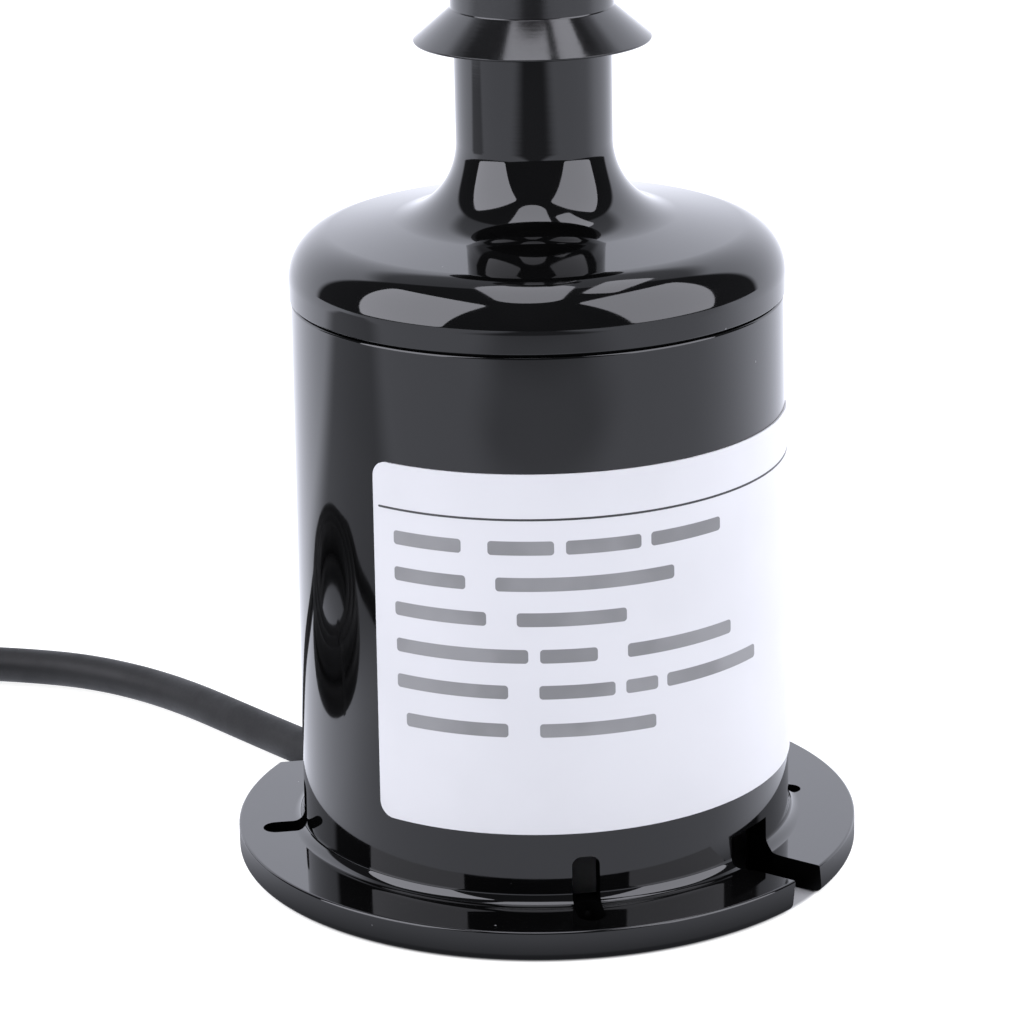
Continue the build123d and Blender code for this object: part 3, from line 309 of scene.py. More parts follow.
def turned(profile, place=Matrix(), segments=SEGMENTS):
    """A closed profile of (radius, height) points turned about the frame's Z."""
    bm = bmesh.new()
    rings = []
    for i in range(segments):
        a = 2 * pi * i / segments
        rings.append([bm.verts.new((r * cos(a), r * sin(a), z)) for r, z in profile])
    count = len(profile)
    for ring, after in zip(rings, rings[1:] + rings[:1]):
        for j in range(count):
            k = (j + 1) % count
            if profile[j][0] or profile[k][0]:
                bm.faces.new((ring[j], after[j], after[k], ring[k]))
    bmesh.ops.remove_doubles(bm, verts=bm.verts, dist=1e-5)
    bmesh.ops.recalc_face_normals(bm, faces=bm.faces)
    bm.transform(place)
    return bm


def prism(outline, place, length, start=0.0):
    """A closed outline in the frame's XY, extended along its Z."""
    bm = bmesh.new()
    low = [bm.verts.new((x, y, start)) for x, y in outline]
    high = [bm.verts.new((x, y, start + length)) for x, y in outline]
    bm.faces.new(low[::-1])
    bm.faces.new(high)
    for i in range(len(outline)):
        j = (i + 1) % len(outline)
        bm.faces.new((low[i], low[j], high[j], high[i]))
    bmesh.ops.recalc_face_normals(bm, faces=bm.faces)
    bm.transform(place)
    return bm


def disc(radius, steps=64):
    """A round outline."""
    return arc((0, 0), radius, 0, 360 * (steps - 1) / steps, steps - 1)


def stadium(r_in, r_out, width):
    """A slot's outline along X, with round ends."""
    half = width / 2
    return (arc((r_out - half, 0), half, -90, 90, 24) + arc((r_in + half, 0), half, 90, 270, 24))


def arched(width, low, high, corner):
    """A doorway outline: square at the foot, rounded at the top."""
    half = width / 2
    return ([(-half, low), (half, low)] + arc((half - corner, high - corner), corner, 0, 90, 10)
            + arc((corner - half, high - corner), corner, 90, 180, 10))


def to_object(name, bm):
    """A mesh object from a bmesh in millimetres."""
    bm.transform(Matrix.Scale(MM, 4))
    mesh = bpy.data.meshes.new(name)
    bm.to_mesh(mesh)
    bm.free()
    made = bpy.data.objects.new(name, mesh)
    scene.collection.objects.link(made)
    return made


def combine(piece, steps):
    """Joins or cuts each tool, in turn, into a piece."""
    for operation, tool_bm in steps:
        tool = to_object("tool", tool_bm)
        modifier = piece.modifiers.new("step", "BOOLEAN")
        modifier.operation, modifier.solver, modifier.object = operation, "EXACT", tool
        result = bpy.data.meshes.new_from_object(
            piece.evaluated_get(bpy.context.evaluated_depsgraph_get()))
        piece.modifiers.clear()
        old, piece.data = piece.data, result
        bpy.data.meshes.remove(old)
        bpy.data.objects.remove(tool)
    piece.data.name = piece.name


def finish_piece(piece, material, body, stands_for=()):
    """Smooth shading with crisp edges, the material, and the body that the piece rides on."""
    bm = bmesh.new()
    bm.from_mesh(piece.data)
    for face in bm.faces:
        face.smooth = True
    for edge in bm.edges:
        edge.smooth = len(edge.link_faces) == 2 and edge.calc_face_angle(0.0) < SHARP
    bm.to_mesh(piece.data)
    bm.free()
    weighted = piece.modifiers.new("normals", "WEIGHTED_NORMAL")
    weighted.keep_sharp = True
    weighted.weight = 80
    piece.data.materials.clear()
    piece.data.materials.append(MATERIALS[material])
    if stands_for:
        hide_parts(*stands_for)
    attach(piece, body)
    return piece


# ------------------------------------------------------------------ the lead
LEAD_R = 2.5
LEAD_ROUTE = (
    (-10.6, 10.6, 5.6), (-18.2, 18.3, 5.6), (-25.3, 25.8, 2.5), (-34.3, 39.8, 2.5),
    (-43.7, 54.9, 2.5), (-52.6, 64.7, 2.5), (-62.0, 70.8, 2.5), (-80.0, 77.0, 2.5),
    (-97.5, 82.3, 2.5), (-106.0, 82.35, 2.5),
)
TAIL_ROUTE = (
    (-147.3, 36.0, 7.6), (-147.2, 24.0, 7.6), (-146.0, 8.0, 2.5), (-141.0, -6.0, 2.5),
    (-133.0, -17.0, 2.5),
)
COIL_CENTRE = Vector((-112.0, 44.5, 0))
COIL_TURNS = (                # each turn's radius and height, from the outside in and back out
    (37.8, 2.55), (32.7, 2.55), (27.6, 2.55), (22.5, 2.55), (25.05, 6.97), (30.15, 6.97),
    (35.25, 6.97),
)
COIL_START_DEG = 90.0
COIL_SHIFT_DEG = (290.0, 350.0)   # the part of a turn in which it moves over to the next
COIL_CLIMB_DEG = (255.0, 312.0)   # where the innermost turn climbs to the upper layer
COIL_HUMP = 0.75                  # how much an upper turn rises where it crosses lower ones
COIL_HUMP_DEG = (255.0, 332.0)    # where the climbing turn takes that rise up,
COIL_SETTLE_DEG = (0.0, 45.0)     # and where the first upper turn gives it back
COIL_CROSS_DEG = (275.0, 365.0)   # where each later upper turn rises and falls again
FIRST_UPPER_TURN = 4
POINTS_PER_TURN = 24
CORNER_LOSS = 0.9915              # how far inside its control points a turn of the spline runs
CORE_R, CORE_L, CORE_TIP_L = 0.65, 26.0, 5.0
CORE_STARTS = ((-0.7, -0.7), (-0.7, 0.7), (0.7, 0.7), (0.7, -0.7))
CORE_FAN = (-5.5, -1.8, 1.8, 5.5)
CORE_CLEAR, CORE_BOW, TIP_SHARE = 0.02, 0.18, 0.62
TIE_DEG, TIE_WIDTH, TIE_T = -50.0, 3.2, 0.35
TIE_HEAD_L, TIE_HEAD_W, TIE_HEAD_H, TIE_HEAD_EDGE = 4.8, 4.6, 2.0, 0.4
TIE_HEAD_AT, TIE_HEAD_SINK = 30.0, 1.2


def eased(value, low, high):
    """0 before low, 1 after high, and smooth between."""
    share = min(1.0, max(0.0, (value - low) / (high - low)))
    return share * share * (3 - 2 * share)


def coil_points():
    """The coil's turns as control points of the lead's spline."""
    points = []
    total = len(COIL_TURNS) * POINTS_PER_TURN + POINTS_PER_TURN // 4
    for i in range(total):
        turn = min(i // POINTS_PER_TURN, len(COIL_TURNS) - 1)
        deg = 360.0 * i / POINTS_PER_TURN - 360.0 * turn
        radius, z = COIL_TURNS[turn]
        if turn + 1 < len(COIL_TURNS):
            next_radius, next_z = COIL_TURNS[turn + 1]
            shift = eased(deg, *COIL_SHIFT_DEG)
            radius += (next_radius - radius) * shift
            if next_z > z:
                z += (next_z - z) * eased(deg, *COIL_CLIMB_DEG)
                z += COIL_HUMP * eased(deg, *COIL_HUMP_DEG)
            elif z > COIL_TURNS[0][1]:
                start, stop = COIL_CROSS_DEG
                z += COIL_HUMP * sin(pi * min(1, max(0, (deg - start) / (stop - start))))
        if turn == FIRST_UPPER_TURN:
            z += COIL_HUMP * (1 - eased(deg, *COIL_SETTLE_DEG))
        a = radians(COIL_START_DEG + deg)
        reach = radius / CORNER_LOSS
        points.append((COIL_CENTRE.x + reach * cos(a), COIL_CENTRE.y + reach * sin(a), z))
    return points


def nurbs_tube(name, points, radius, material):
    """A round tube along a smooth spline through the control points."""
    curve = bpy.data.curves.new(name, "CURVE")
    curve.dimensions = "3D"
    spline = curve.splines.new("NURBS")
    spline.points.add(len(points) - 1)
    for slot_point, (x, y, z) in zip(spline.points, points):
        slot_point.co = (x * MM, y * MM, z * MM, 1.0)
    spline.order_u = 3
    spline.use_endpoint_u = True
    spline.resolution_u = 10
    curve.bevel_depth = radius * MM
    curve.bevel_resolution = 8
    curve.use_fill_caps = True
    curve.materials.append(MATERIALS[material])
    made = bpy.data.objects.new(name, curve)
    scene.collection.objects.link(made)
    return made


def make_tie():
    """A nylon tie round all the coil's turns, with its locking head on top."""
    centres = [Vector((r, 0, z)) for r, z in COIL_TURNS]
    inner, outer = [], []
    steps = 72
    for i in range(steps):
        a = 2 * pi * i / steps
        out = Vector((cos(a), 0, sin(a)))
        held = max(centres, key=out.dot)
        inner.append(held + out * LEAD_R)
        outer.append(held + out * (LEAD_R + TIE_T))
    bm = bmesh.new()
    half = TIE_WIDTH / 2
    low = TIE_T * 0.3
    rings = []
    for near, far in zip(inner, outer):
        near.z, far.z = max(near.z, low + TIE_T * 0.6), max(far.z, low)
        rings.append([bm.verts.new((p.x, side, p.z))
                      for p, side in ((near, -half), (far, -half * 0.8), (far, half * 0.8),
                                      (near, half))])
    for ring, after in zip(rings, rings[1:] + rings[:1]):
        for j in range(4):
            k = (j + 1) % 4
            bm.faces.new((ring[j], after[j], after[k], ring[k]))
    bmesh.ops.remove_doubles(bm, verts=bm.verts, dist=1e-4)
    head_z = COIL_TURNS[-1][1] + LEAD_R
    x, y = TIE_HEAD_L / 2, TIE_HEAD_W / 2
    head = prism([(-x, -y), (x, -y), (x, y), (-x, y)],
                 Matrix.Translation((TIE_HEAD_AT, 0, head_z - TIE_HEAD_SINK)), TIE_HEAD_H)
    mesh = bpy.data.meshes.new("head")
    bmesh.ops.bevel(head, geom=head.edges[:], offset=TIE_HEAD_EDGE, segments=3, affect="EDGES")
    head.to_mesh(mesh)
    bm.from_mesh(mesh)
    head.free()
    bmesh.ops.recalc_face_normals(bm, faces=bm.faces)
    bm.transform(Matrix.Translation(COIL_CENTRE) @ Matrix.Rotation(radians(TIE_DEG), 4, "Z"))
    return finish_piece(to_object("coil_tie", bm), "tie_nylon", "housing")


def make_cores():
    """Four stripped cores that splay from the lead's end, each with bare strands at its tip."""
    end, before = Vector(TAIL_ROUTE[-1]), Vector(TAIL_ROUTE[-2])
    ahead = (end - before).normalized()
    side = Vector((-ahead.y, ahead.x, 0))
    made = []
    for (across, up), fan, (colour, _) in zip(CORE_STARTS, CORE_FAN, CORE_COLOURS):
        start = end + side * across + Vector((0, 0, up))
        stop = end + ahead * CORE_L + side * fan
        stop.z = CORE_R + CORE_CLEAR
        bow = side * (fan * CORE_BOW)
        points = [start - ahead * 2.0, start, start.lerp(stop, 0.33) + bow,
                  start.lerp(stop, 0.66) + bow, stop]
        tip_from = points[-1].lerp(points[-2], CORE_TIP_L / (points[-1] - points[-2]).length)
        core = nurbs_tube(f"core_{colour}", points[:-1] + [tip_from], CORE_R, f"core_{colour}")
        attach(core, "housing")
        tip = nurbs_tube(f"core_{colour}_tip", [tip_from + (tip_from - stop) * 0.05,
                                                tip_from.lerp(stop, 0.5), stop],
                         CORE_R * TIP_SHARE, "copper_strands")
        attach(tip, "housing")
        made += [core, tip]
    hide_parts("lead_cores")
    return made


def make_lead():
    """The whole lead on one spline: out under the flange, into the coil and out to the cores."""
    lead = nurbs_tube("lead", [*LEAD_ROUTE, *coil_points()[1:], *TAIL_ROUTE], LEAD_R,
                      "cable_jacket")
    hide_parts("lead_cable", "lead_coil", "lead_tail")
    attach(lead, "housing")
    tie, cores = make_tie(), make_cores()


# ------------------------------------------------------------------ base housing
FLANGE_R, FLANGE_T, FLANGE_EDGE_R, RIM_EDGE_R = 40.0, 3.95, 1.1, 0.3
BARREL_R_FOOT, BARREL_R_TOP, BORE_R, SEAM_Z = 31.5, 30.75, 28.6, 73.64
FOOT_FILLET, SEAM_GAP, SEAM_IN_R = 1.5, 0.3, 29.8
LEDGE_Z, LEDGE_TOP_Z, LEDGE_R = 13.4, 15.4, 25.8
SLOT_W, SLOT_IN_R, SLOT_OUT_R, ARCH_TOP_Z, ARCH_CORNER = 3.45, 31.0, 37.0, 10.0, 1.2
SLOT_DEGS, SHORT_SLOT_DEG, SHORT_SLOT = (-90.0, 180.0, 90.0), 0.0, (29.8, 33.8, 3.0)
NOTCH_DEGS, LEAD_DEG = (-44.3, 135.0), 135.0
NOTCH_HALF_TOP, NOTCH_HALF_FOOT, OPENING_HALF, OPENING_TOP_Z = 2.85, 3.5, 4.0, 8.2
WALL_IN, WALL_OUT = 27.6, 31.55
COVER_SCREWS, CAP_SCREWS = (23.8, (10.0, 80.0, 225.0)), (24.0, (30.0, 150.0, 270.0))
BOSS_R, BOSS_TOP_Z, LUG_R, LUG_Z, LUG_TOP_Z, PILOT_R, CLEARANCE_R = 3.4, 23.0, 3.0, 60.0, 64.0, 1.3, 1.6


def barrel_r(z):
    """The barrel's outer radius at a height: it has a little draft."""
    return BARREL_R_FOOT + (BARREL_R_TOP - BARREL_R_FOOT) * (z - FLANGE_T) / (SEAM_Z - FLANGE_T)


def boss_steps(places, radius, low, high, wall_r, hole_r, hole_high):
    """Screw bosses that stand against the wall: each post, its web and its hole."""
    at_r, degs = places
    steps = []
    for deg in degs:
        there = Matrix.Translation(polar(at_r, deg))
        reach = wall_r - at_r + 0.2
        web = [(at_r, -radius), (at_r + reach, -radius), (at_r + reach, radius), (at_r, radius)]
        steps += [("UNION", prism(disc(radius), there, high - low, low)),
                  ("UNION", prism(web, plan_frame(deg), high - low, low))]
    for deg in degs:
        there = Matrix.Translation(polar(at_r, deg))
        steps.append(("DIFFERENCE", prism(disc(hole_r, 40), there, hole_high - low + 1, low - 1)))
    return steps


def notch_steps(deg):
    """A lead notch: drafted through the flange, wider at the wall, square above the flange."""
    slope = (NOTCH_HALF_FOOT - NOTCH_HALF_TOP) / FLANGE_T
    foot, top = NOTCH_HALF_FOOT + slope, NOTCH_HALF_FOOT - 6.95 * slope
    through = [(-foot, -1.0), (foot, -1.0), (top, 6.95), (-top, 6.95)]
    rounding = [(BARREL_R_FOOT, OPENING_HALF), (32.05, 3.74), (32.75, 3.2), (33.5, 2.94),
                (34.5, NOTCH_HALF_TOP)]
    widened = [(WALL_IN, OPENING_HALF), *rounding]
    widened += [(x, -y) for x, y in reversed(widened)]
    doorway = [(-OPENING_HALF, FLANGE_T), (OPENING_HALF, FLANGE_T),
               (OPENING_HALF, OPENING_TOP_Z), (-OPENING_HALF, OPENING_TOP_Z)]
    return [
        ("DIFFERENCE", prism(through, radial_frame(deg, 0, 26.6), 28.0)),
        ("DIFFERENCE", prism(widened, plan_frame(deg), FLANGE_T + FOOT_FILLET + 1, -1.0)),
        ("DIFFERENCE", prism(doorway, radial_frame(deg, 0, WALL_IN), WALL_OUT - WALL_IN)),
    ]


def slot_steps(deg, r_in, r_out, width):
    """A fixing slot and the arched opening in the wall above it."""
    return [
        ("DIFFERENCE", prism(stadium(r_in, r_out, width), plan_frame(deg), 7.0, -1.5)),
        ("DIFFERENCE", prism(arched(width, FLANGE_T + 0.004, ARCH_TOP_Z, ARCH_CORNER),
                             radial_frame(deg, 0, WALL_IN), 8.4)),
    ]


def make_base_housing():
    """The barrel on its flange, with every slot, notch and boss."""
    foot_r = barrel_r(FLANGE_T + FOOT_FILLET)
    profile = [(BORE_R, 0.0)]
    profile += arc((FLANGE_R - FLANGE_EDGE_R, FLANGE_EDGE_R), FLANGE_EDGE_R, -90, 0, 10)
    profile += arc((FLANGE_R - RIM_EDGE_R, FLANGE_T - RIM_EDGE_R), RIM_EDGE_R, 0, 90, 5)
    profile += arc((foot_r + FOOT_FILLET, FLANGE_T + FOOT_FILLET), FOOT_FILLET, 270, 180, 16)
    profile += [(barrel_r(z), z) for z in (24.0, 42.0, 60.0)]
    profile += arc((BARREL_R_TOP - 0.32, SEAM_Z - SEAM_GAP - 0.32), 0.32, 0, 90, 6)
    profile += [(SEAM_IN_R, SEAM_Z - SEAM_GAP), (SEAM_IN_R, SEAM_Z), (BORE_R, SEAM_Z),
                (BORE_R, LEDGE_TOP_Z), (LEDGE_R, LEDGE_TOP_Z), (LEDGE_R, LEDGE_Z),
                (BORE_R, LEDGE_Z)]
    piece = to_object("housing_shell", turned(profile))
    steps = boss_steps(COVER_SCREWS, BOSS_R, LEDGE_Z, BOSS_TOP_Z, BORE_R, PILOT_R, BOSS_TOP_Z - 1.5)
    steps += boss_steps(CAP_SCREWS, LUG_R, LUG_Z, LUG_TOP_Z, BORE_R, CLEARANCE_R, LUG_TOP_Z + 1)
    for deg in SLOT_DEGS:
        steps += slot_steps(deg, SLOT_IN_R, SLOT_OUT_R, SLOT_W)
    steps += slot_steps(SHORT_SLOT_DEG, *SHORT_SLOT)
    for deg in NOTCH_DEGS:
        steps += notch_steps(deg)
    mouth = [(35.0, NOTCH_HALF_TOP), (41.0, NOTCH_HALF_TOP + 6), (41.0, -NOTCH_HALF_TOP - 6),
             (35.0, -NOTCH_HALF_TOP)]
    steps.append(("DIFFERENCE", prism(mouth, plan_frame(LEAD_DEG), FLANGE_T + 1.3, -1.0)))
    combine(piece, steps)
    return finish_piece(piece, "gloss_black_plastic", "housing", stands_for=["base_housing"])


# ------------------------------------------------------------------ cap
CAP_R, NECK_R, NECK_TOP_Z = 30.95, 9.72, 107.4
NECK_FILLET_R, NECK_FILLET_Z, SHOULDER_R, SHELF_DEG = 9.65, 92.8, 6.1, 9.2
CAP_FOOT_EDGE_R = 0.15
BOARD_POSTS = (17.5, (60.0, 180.0, 300.0))
SEAT_R, GROOVE_R, LAND_R = 6.5, 7.0, 5.0   # the bearings' seats, the circlips' grooves, between


def make_top_cap():
    """The cap: a round shoulder, a cone, a swept fillet and the neck, with its bearing bores."""
    slope = radians(SHELF_DEG)
    both = SHOULDER_R + NECK_FILLET_R
    shoulder_z = NECK_FILLET_Z - (both + (CAP_R - NECK_R - both) * sin(slope)) / cos(slope)
    profile = [(24.9, 66.5), (28.3, 66.5), (28.3, 69.15), (26.6, 69.15), (26.6, 71.45),
               (28.3, 71.45), (28.3, SEAM_Z)]
    profile += arc((CAP_R - CAP_FOOT_EDGE_R, SEAM_Z + CAP_FOOT_EDGE_R), CAP_FOOT_EDGE_R, -90, 0, 4)
    profile += arc((CAP_R - SHOULDER_R, shoulder_z), SHOULDER_R, 0, 90 - SHELF_DEG, 40)
    profile += arc((NECK_R + NECK_FILLET_R, NECK_FILLET_Z), NECK_FILLET_R, 270 - SHELF_DEG, 180, 48)
    profile += [(NECK_R, 97.5), (NECK_R, 102.0)]
    profile += arc((NECK_R - 0.4, NECK_TOP_Z - 0.4), 0.4, 0, 90, 5)
    profile += [(SEAT_R, NECK_TOP_Z), (SEAT_R, 107.0), (GROOVE_R, 107.0), (GROOVE_R, 106.05),
                (SEAT_R, 106.05), (SEAT_R, 102.0), (LAND_R, 102.0), (LAND_R, 82.0),
                (SEAT_R, 82.0), (SEAT_R, 77.95), (GROOVE_R, 77.95), (GROOVE_R, 77.0),
                (SEAT_R, 77.0), (SEAT_R, 75.8), (9.5, 75.8), (9.5, 79.6), (23.5, 79.0),
                (26.3, 77.4), (26.9, 75.6), (24.9, 73.04)]
    piece = to_object("cap_shell", turned(profile))
    steps = []
    for (at_r, degs), radius, low, high, hole_r, hole_high in (
            (CAP_SCREWS, 2.6, 64.0, SEAM_Z + 3, PILOT_R, 73.0),
            (BOARD_POSTS, 2.6, 58.0, 80.4, 1.1, 67.5)):
        for deg in degs:
            there = Matrix.Translation(polar(at_r, deg))
            steps.append(("UNION", prism(disc(radius), there, high - low, low)))
            steps.append(("DIFFERENCE", prism(disc(hole_r, 40), there, hole_high - low + 1, low - 1)))
    combine(piece, steps)
    return finish_piece(piece, "gloss_black_plastic", "housing", stands_for=["top_cap"])


# ------------------------------------------------------------------ label
LABEL_Z, LABEL_FROM_DEG, LABEL_ARC_DEG = (13.2, 59.0), -139.1, 131.5
LABEL_T, LABEL_CORNER_R = 0.2, 2.0
RULE_Z, RULE_DEGS, RULE_H = 53.4, (-137.6, -9.0), 0.28
LINE_H = 1.75                 # height of a printed bar
PRINT_LIFT, PRINT_T = LABEL_T - 0.02, 0.03
BARS = (                      # each printed line: its middle height, its start, then bars and gaps
    (49.85, -133.4, (16.7, 6.1, 14.7, 2.6, 17.2, 2.4, 19.0)),
    (45.30, -133.4, (17.6, 6.8, 41.0)),
    (40.85, -133.4, (22.2, 6.8, 24.6)),
    (36.20, -133.2, (31.2, 2.6, 12.8, 6.9, 28.2)),
    (31.60, -133.2, (26.6, 6.9, 17.0, 2.5, 7.7, 2.3, 27.7)),
    (26.70, -131.0, (24.3, 7.0, 26.6)),
)


def curved_patch(bm, degs, heights, lift, thick, corner, columns):
    """A thin closed patch that follows the barrel, with rounded corners."""
    lower, upper = heights
    mid_r = barrel_r((lower + upper) / 2)
    width = radians(degs[1] - degs[0]) * mid_r
    places = sorted({round(width * i / columns, 5) for i in range(columns + 1)}
                    | {round(corner * (1 - cos(pi * i / 20)), 5) for i in range(11)}
                    | {round(width - corner * (1 - cos(pi * i / 20)), 5) for i in range(11)})
    rows = max(1, round((upper - lower) / 6))
    grid = []
    for place in places:
        edge = min(place, width - place)
        inset = corner - sqrt(max(0.0, corner**2 - max(0.0, corner - edge)**2))
        low, high = lower + inset, upper - inset
        deg = degs[0] + degrees(place / mid_r)
        zs = [low + (high - low) * j / rows for j in range(rows + 1)]
        grid.append([[bm.verts.new(polar(barrel_r(z) + lift + up, deg, z)) for z in zs]
                     for up in (0.0, thick)])
    for (back, front), (next_back, next_front) in zip(grid, grid[1:]):
        for j in range(rows):
            bm.faces.new((front[j], next_front[j], next_front[j + 1], front[j + 1]))
            bm.faces.new((back[j + 1], next_back[j + 1], next_back[j], back[j]))
        bm.faces.new((back[0], next_back[0], next_front[0], front[0]))
        bm.faces.new((front[rows], next_front[rows], next_back[rows], back[rows]))
    for (back, front), flip in ((grid[0], False), (grid[-1], True)):
        for j in range(rows):
            corners = (back[j], front[j], front[j + 1], back[j + 1])
            bm.faces.new(corners[::-1] if flip else corners)


def make_label():
    """The white label, with a rule and plain bars where its lines of print are."""
    bm = bmesh.new()
    label_degs = (LABEL_FROM_DEG, LABEL_FROM_DEG + LABEL_ARC_DEG)
    curved_patch(bm, label_degs, LABEL_Z, 0.0, LABEL_T, LABEL_CORNER_R, 200)
    finish_piece(to_object("label", bm), "printed_label", "housing",
                 stands_for=["label_sticker"])
    bm = bmesh.new()
    curved_patch(bm, RULE_DEGS, (RULE_Z - RULE_H / 2, RULE_Z + RULE_H / 2), PRINT_LIFT, PRINT_T,
                 RULE_H / 2.2, 160)
    finish_piece(to_object("label_rule", bm), "rule_ink", "housing")
    bm = bmesh.new()
    for z, deg, spans in BARS:
        for i, span in enumerate(spans):
            if i % 2 == 0:
                curved_patch(bm, (deg, deg + span), (z - LINE_H / 2, z + LINE_H / 2),
                             PRINT_LIFT, PRINT_T, LINE_H / 4, max(4, int(span)))
            deg += span
    finish_piece(to_object("label_bars", bm), "label_ink", "housing")


# ------------------------------------------------------------------ rotor hub, cups and nut
SKIRT_R, SKIRT_Z, HUB_R, HUB_SKIRT_Z = 14.63, 105.44, 10.04, 109.38
HEAD_R, HUB_TOP_Z, ARM_Z, ARM_R = 13.0, 154.0, 147.0, 2.5
ARM_DEGS = (-30.0, 90.0, 210.0)
CUP_RADIAL, CUP_R, CUP_IN_R, CUP_OFFSET = 70.0, 25.0, 23.6, 4.0
BEAD = (24.8, 1.05, 1.1)      # the rolled rim: where its middle is, and its radius
SOCKET_R, SOCKET_IN_R, SOCKET_OUT_R, ARM_OUT_R, PIN_AT, PIN_R = 4.2, 40.0, 48.5, 45.9, 42.6, 1.0
SHAFT_R, RECESS_R = 2.5, 3.55
ROOF_SCREWS_AT, ROOF_SCREW_R = 8.6, 1.5
SIDE_SCREW_DEG, SIDE_SCREW_Z, SIDE_SCREW_R = 30.0, 121.0, 2.0
NUT_Z, NUT_FLATS, NUT_H, NUT_DOME_R = 155.0, 8.0, 4.0, 3.9


def make_rotor_hub():
    """The hub: a skirt over the neck, a plain tube, and a head that holds the arms."""
    profile = [(SHAFT_R, 106.0), (RECESS_R, 106.0), (RECESS_R, 109.0), (HUB_R - 1, 109.0),
               (SKIRT_R - 1.25, SKIRT_Z - 0.25)]
    profile += arc((SKIRT_R - 0.2, SKIRT_Z - 0.05), 0.2, -90, 20, 5)
    profile += arc((HUB_R + 0.25, HUB_SKIRT_Z + 0.12), 0.25, 230, 180, 4)
    profile += [(HUB_R, 118.0), (HUB_R, 128.0), (HUB_R, 137.5), (HEAD_R, 141.0)]
    profile += arc((HEAD_R - 2.5, HUB_TOP_Z - 2.5), 2.5, 0, 90, 16)
    profile += [(SHAFT_R, HUB_TOP_Z)]
    piece = to_object("hub", turned(profile))
    steps = [("DIFFERENCE", prism(disc(ARM_R), radial_frame(deg, ARM_Z, 4.0), 13.0))
             for deg in ARM_DEGS]
    steps += [("DIFFERENCE", prism(disc(ROOF_SCREW_R, 40),
                                   Matrix.Translation(polar(ROOF_SCREWS_AT, deg)), 8.0, ARM_Z))
              for deg in ARM_DEGS]
    side = radial_frame(SIDE_SCREW_DEG, SIDE_SCREW_Z)
    steps.append(("DIFFERENCE", prism(disc(SIDE_SCREW_R, 40), side, 11.0)))
    combine(piece, steps)
    return finish_piece(piece, "satin_black_rotor", "rotor", stands_for=["rotor_hub"])


def make_cups():
    """One hemispherical cup with its rolled rim and socket, and two copies turned about the axis."""
    deg = 0.0
    along = polar(1, deg + 90)
    centre = polar(CUP_RADIAL, deg, ARM_Z) - along * CUP_OFFSET
    out, up = polar(1, deg), Vector((0, 0, 1))
    place = Matrix.Translation(centre) @ Matrix((out, -up, along)).transposed().to_4x4()
    bead_at, bead_rise, bead_r = BEAD
    outer = [(0.0, 0.0)] + arc((bead_at, bead_rise), bead_r, -107.4, 84.4, 20)
    outer += arc((0, 0), CUP_R, 5.4, 90, 60)[:-1] + [(0.0, CUP_R)]
    inner = [(0.0, -CUP_IN_R)] + arc((0, 0), CUP_IN_R, -90, 90, 90)[1:-1] + [(0.0, CUP_IN_R)]
    piece = to_object("cup_1_shell", turned(outer, place, 192))
    combine(piece, [
        ("UNION", prism(disc(SOCKET_R), radial_frame(deg, ARM_Z, SOCKET_IN_R),
                        SOCKET_OUT_R - SOCKET_IN_R)),
        ("DIFFERENCE", turned(inner, place, 192)),
        ("DIFFERENCE", prism(disc(ARM_R), radial_frame(deg, ARM_Z, SOCKET_IN_R - 1),
                             ARM_OUT_R - SOCKET_IN_R + 1)),
        ("DIFFERENCE", prism(disc(PIN_R, 32), Matrix.Translation(polar(PIN_AT, deg)), 11.0,
                             ARM_Z - 5.5)),
    ])
    cups = [piece]
    for number in (2, 3):
        cups.append(bpy.data.objects.new(f"cup_{number}_shell", piece.data.copy()))
        scene.collection.objects.link(cups[-1])
    for number, (cup, arm_deg) in enumerate(zip(cups, ARM_DEGS), 1):
        cup.data.transform(Matrix.Rotation(radians(arm_deg), 4, "Z"))
        finish_piece(cup, "cup_black", "rotor", stands_for=[f"cup_{number}"])


def make_nut():
    """The acorn nut: chamfered flats under a polished dome."""
    corner = NUT_FLATS / 2 / cos(pi / 6)
    hexagon = [(corner * cos(pi / 3 * i + pi / 6), corner * sin(pi / 3 * i + pi / 6))
               for i in range(6)]
    piece = to_object("acorn_nut_shell", prism(hexagon, Matrix(), NUT_H, NUT_Z))
    blank = [(0.0, NUT_Z), (corner - 0.35, NUT_Z), (corner + 0.01, NUT_Z + 0.25),
             (corner + 0.01, NUT_Z + NUT_H - 0.3), (corner - 0.5, NUT_Z + NUT_H),
             (0.0, NUT_Z + NUT_H)]
    dome = arc((0, NUT_Z + NUT_H), NUT_DOME_R, 0, 90, 24)[:-1]
    dome = [(0.0, NUT_Z + NUT_H - 0.5), (NUT_DOME_R, NUT_Z + NUT_H - 0.5), *dome,
            (0.0, NUT_Z + NUT_H + NUT_DOME_R)]
    combine(piece, [
        ("INTERSECT", turned(blank, segments=96)),
        ("UNION", turned(dome, segments=96)),
        ("DIFFERENCE", prism(disc(SHAFT_R), Matrix(), 4.6, NUT_Z)),
    ])
    return finish_piece(piece, "stainless_steel", "rotor", stands_for=["acorn_nut"])


# ------------------------------------------------------------------ materials of the CAD nodes
def dress_cad_nodes():
    """Every CAD node that still shows takes the material of its slot in the record."""
    slots = {part["node"]: part["material_slot"] for part in frame["record"]["subparts"]}
    for name, made in frame["nodes"].items():
        made.data.materials.clear()
        made.data.materials.append(MATERIALS[slots[name]])


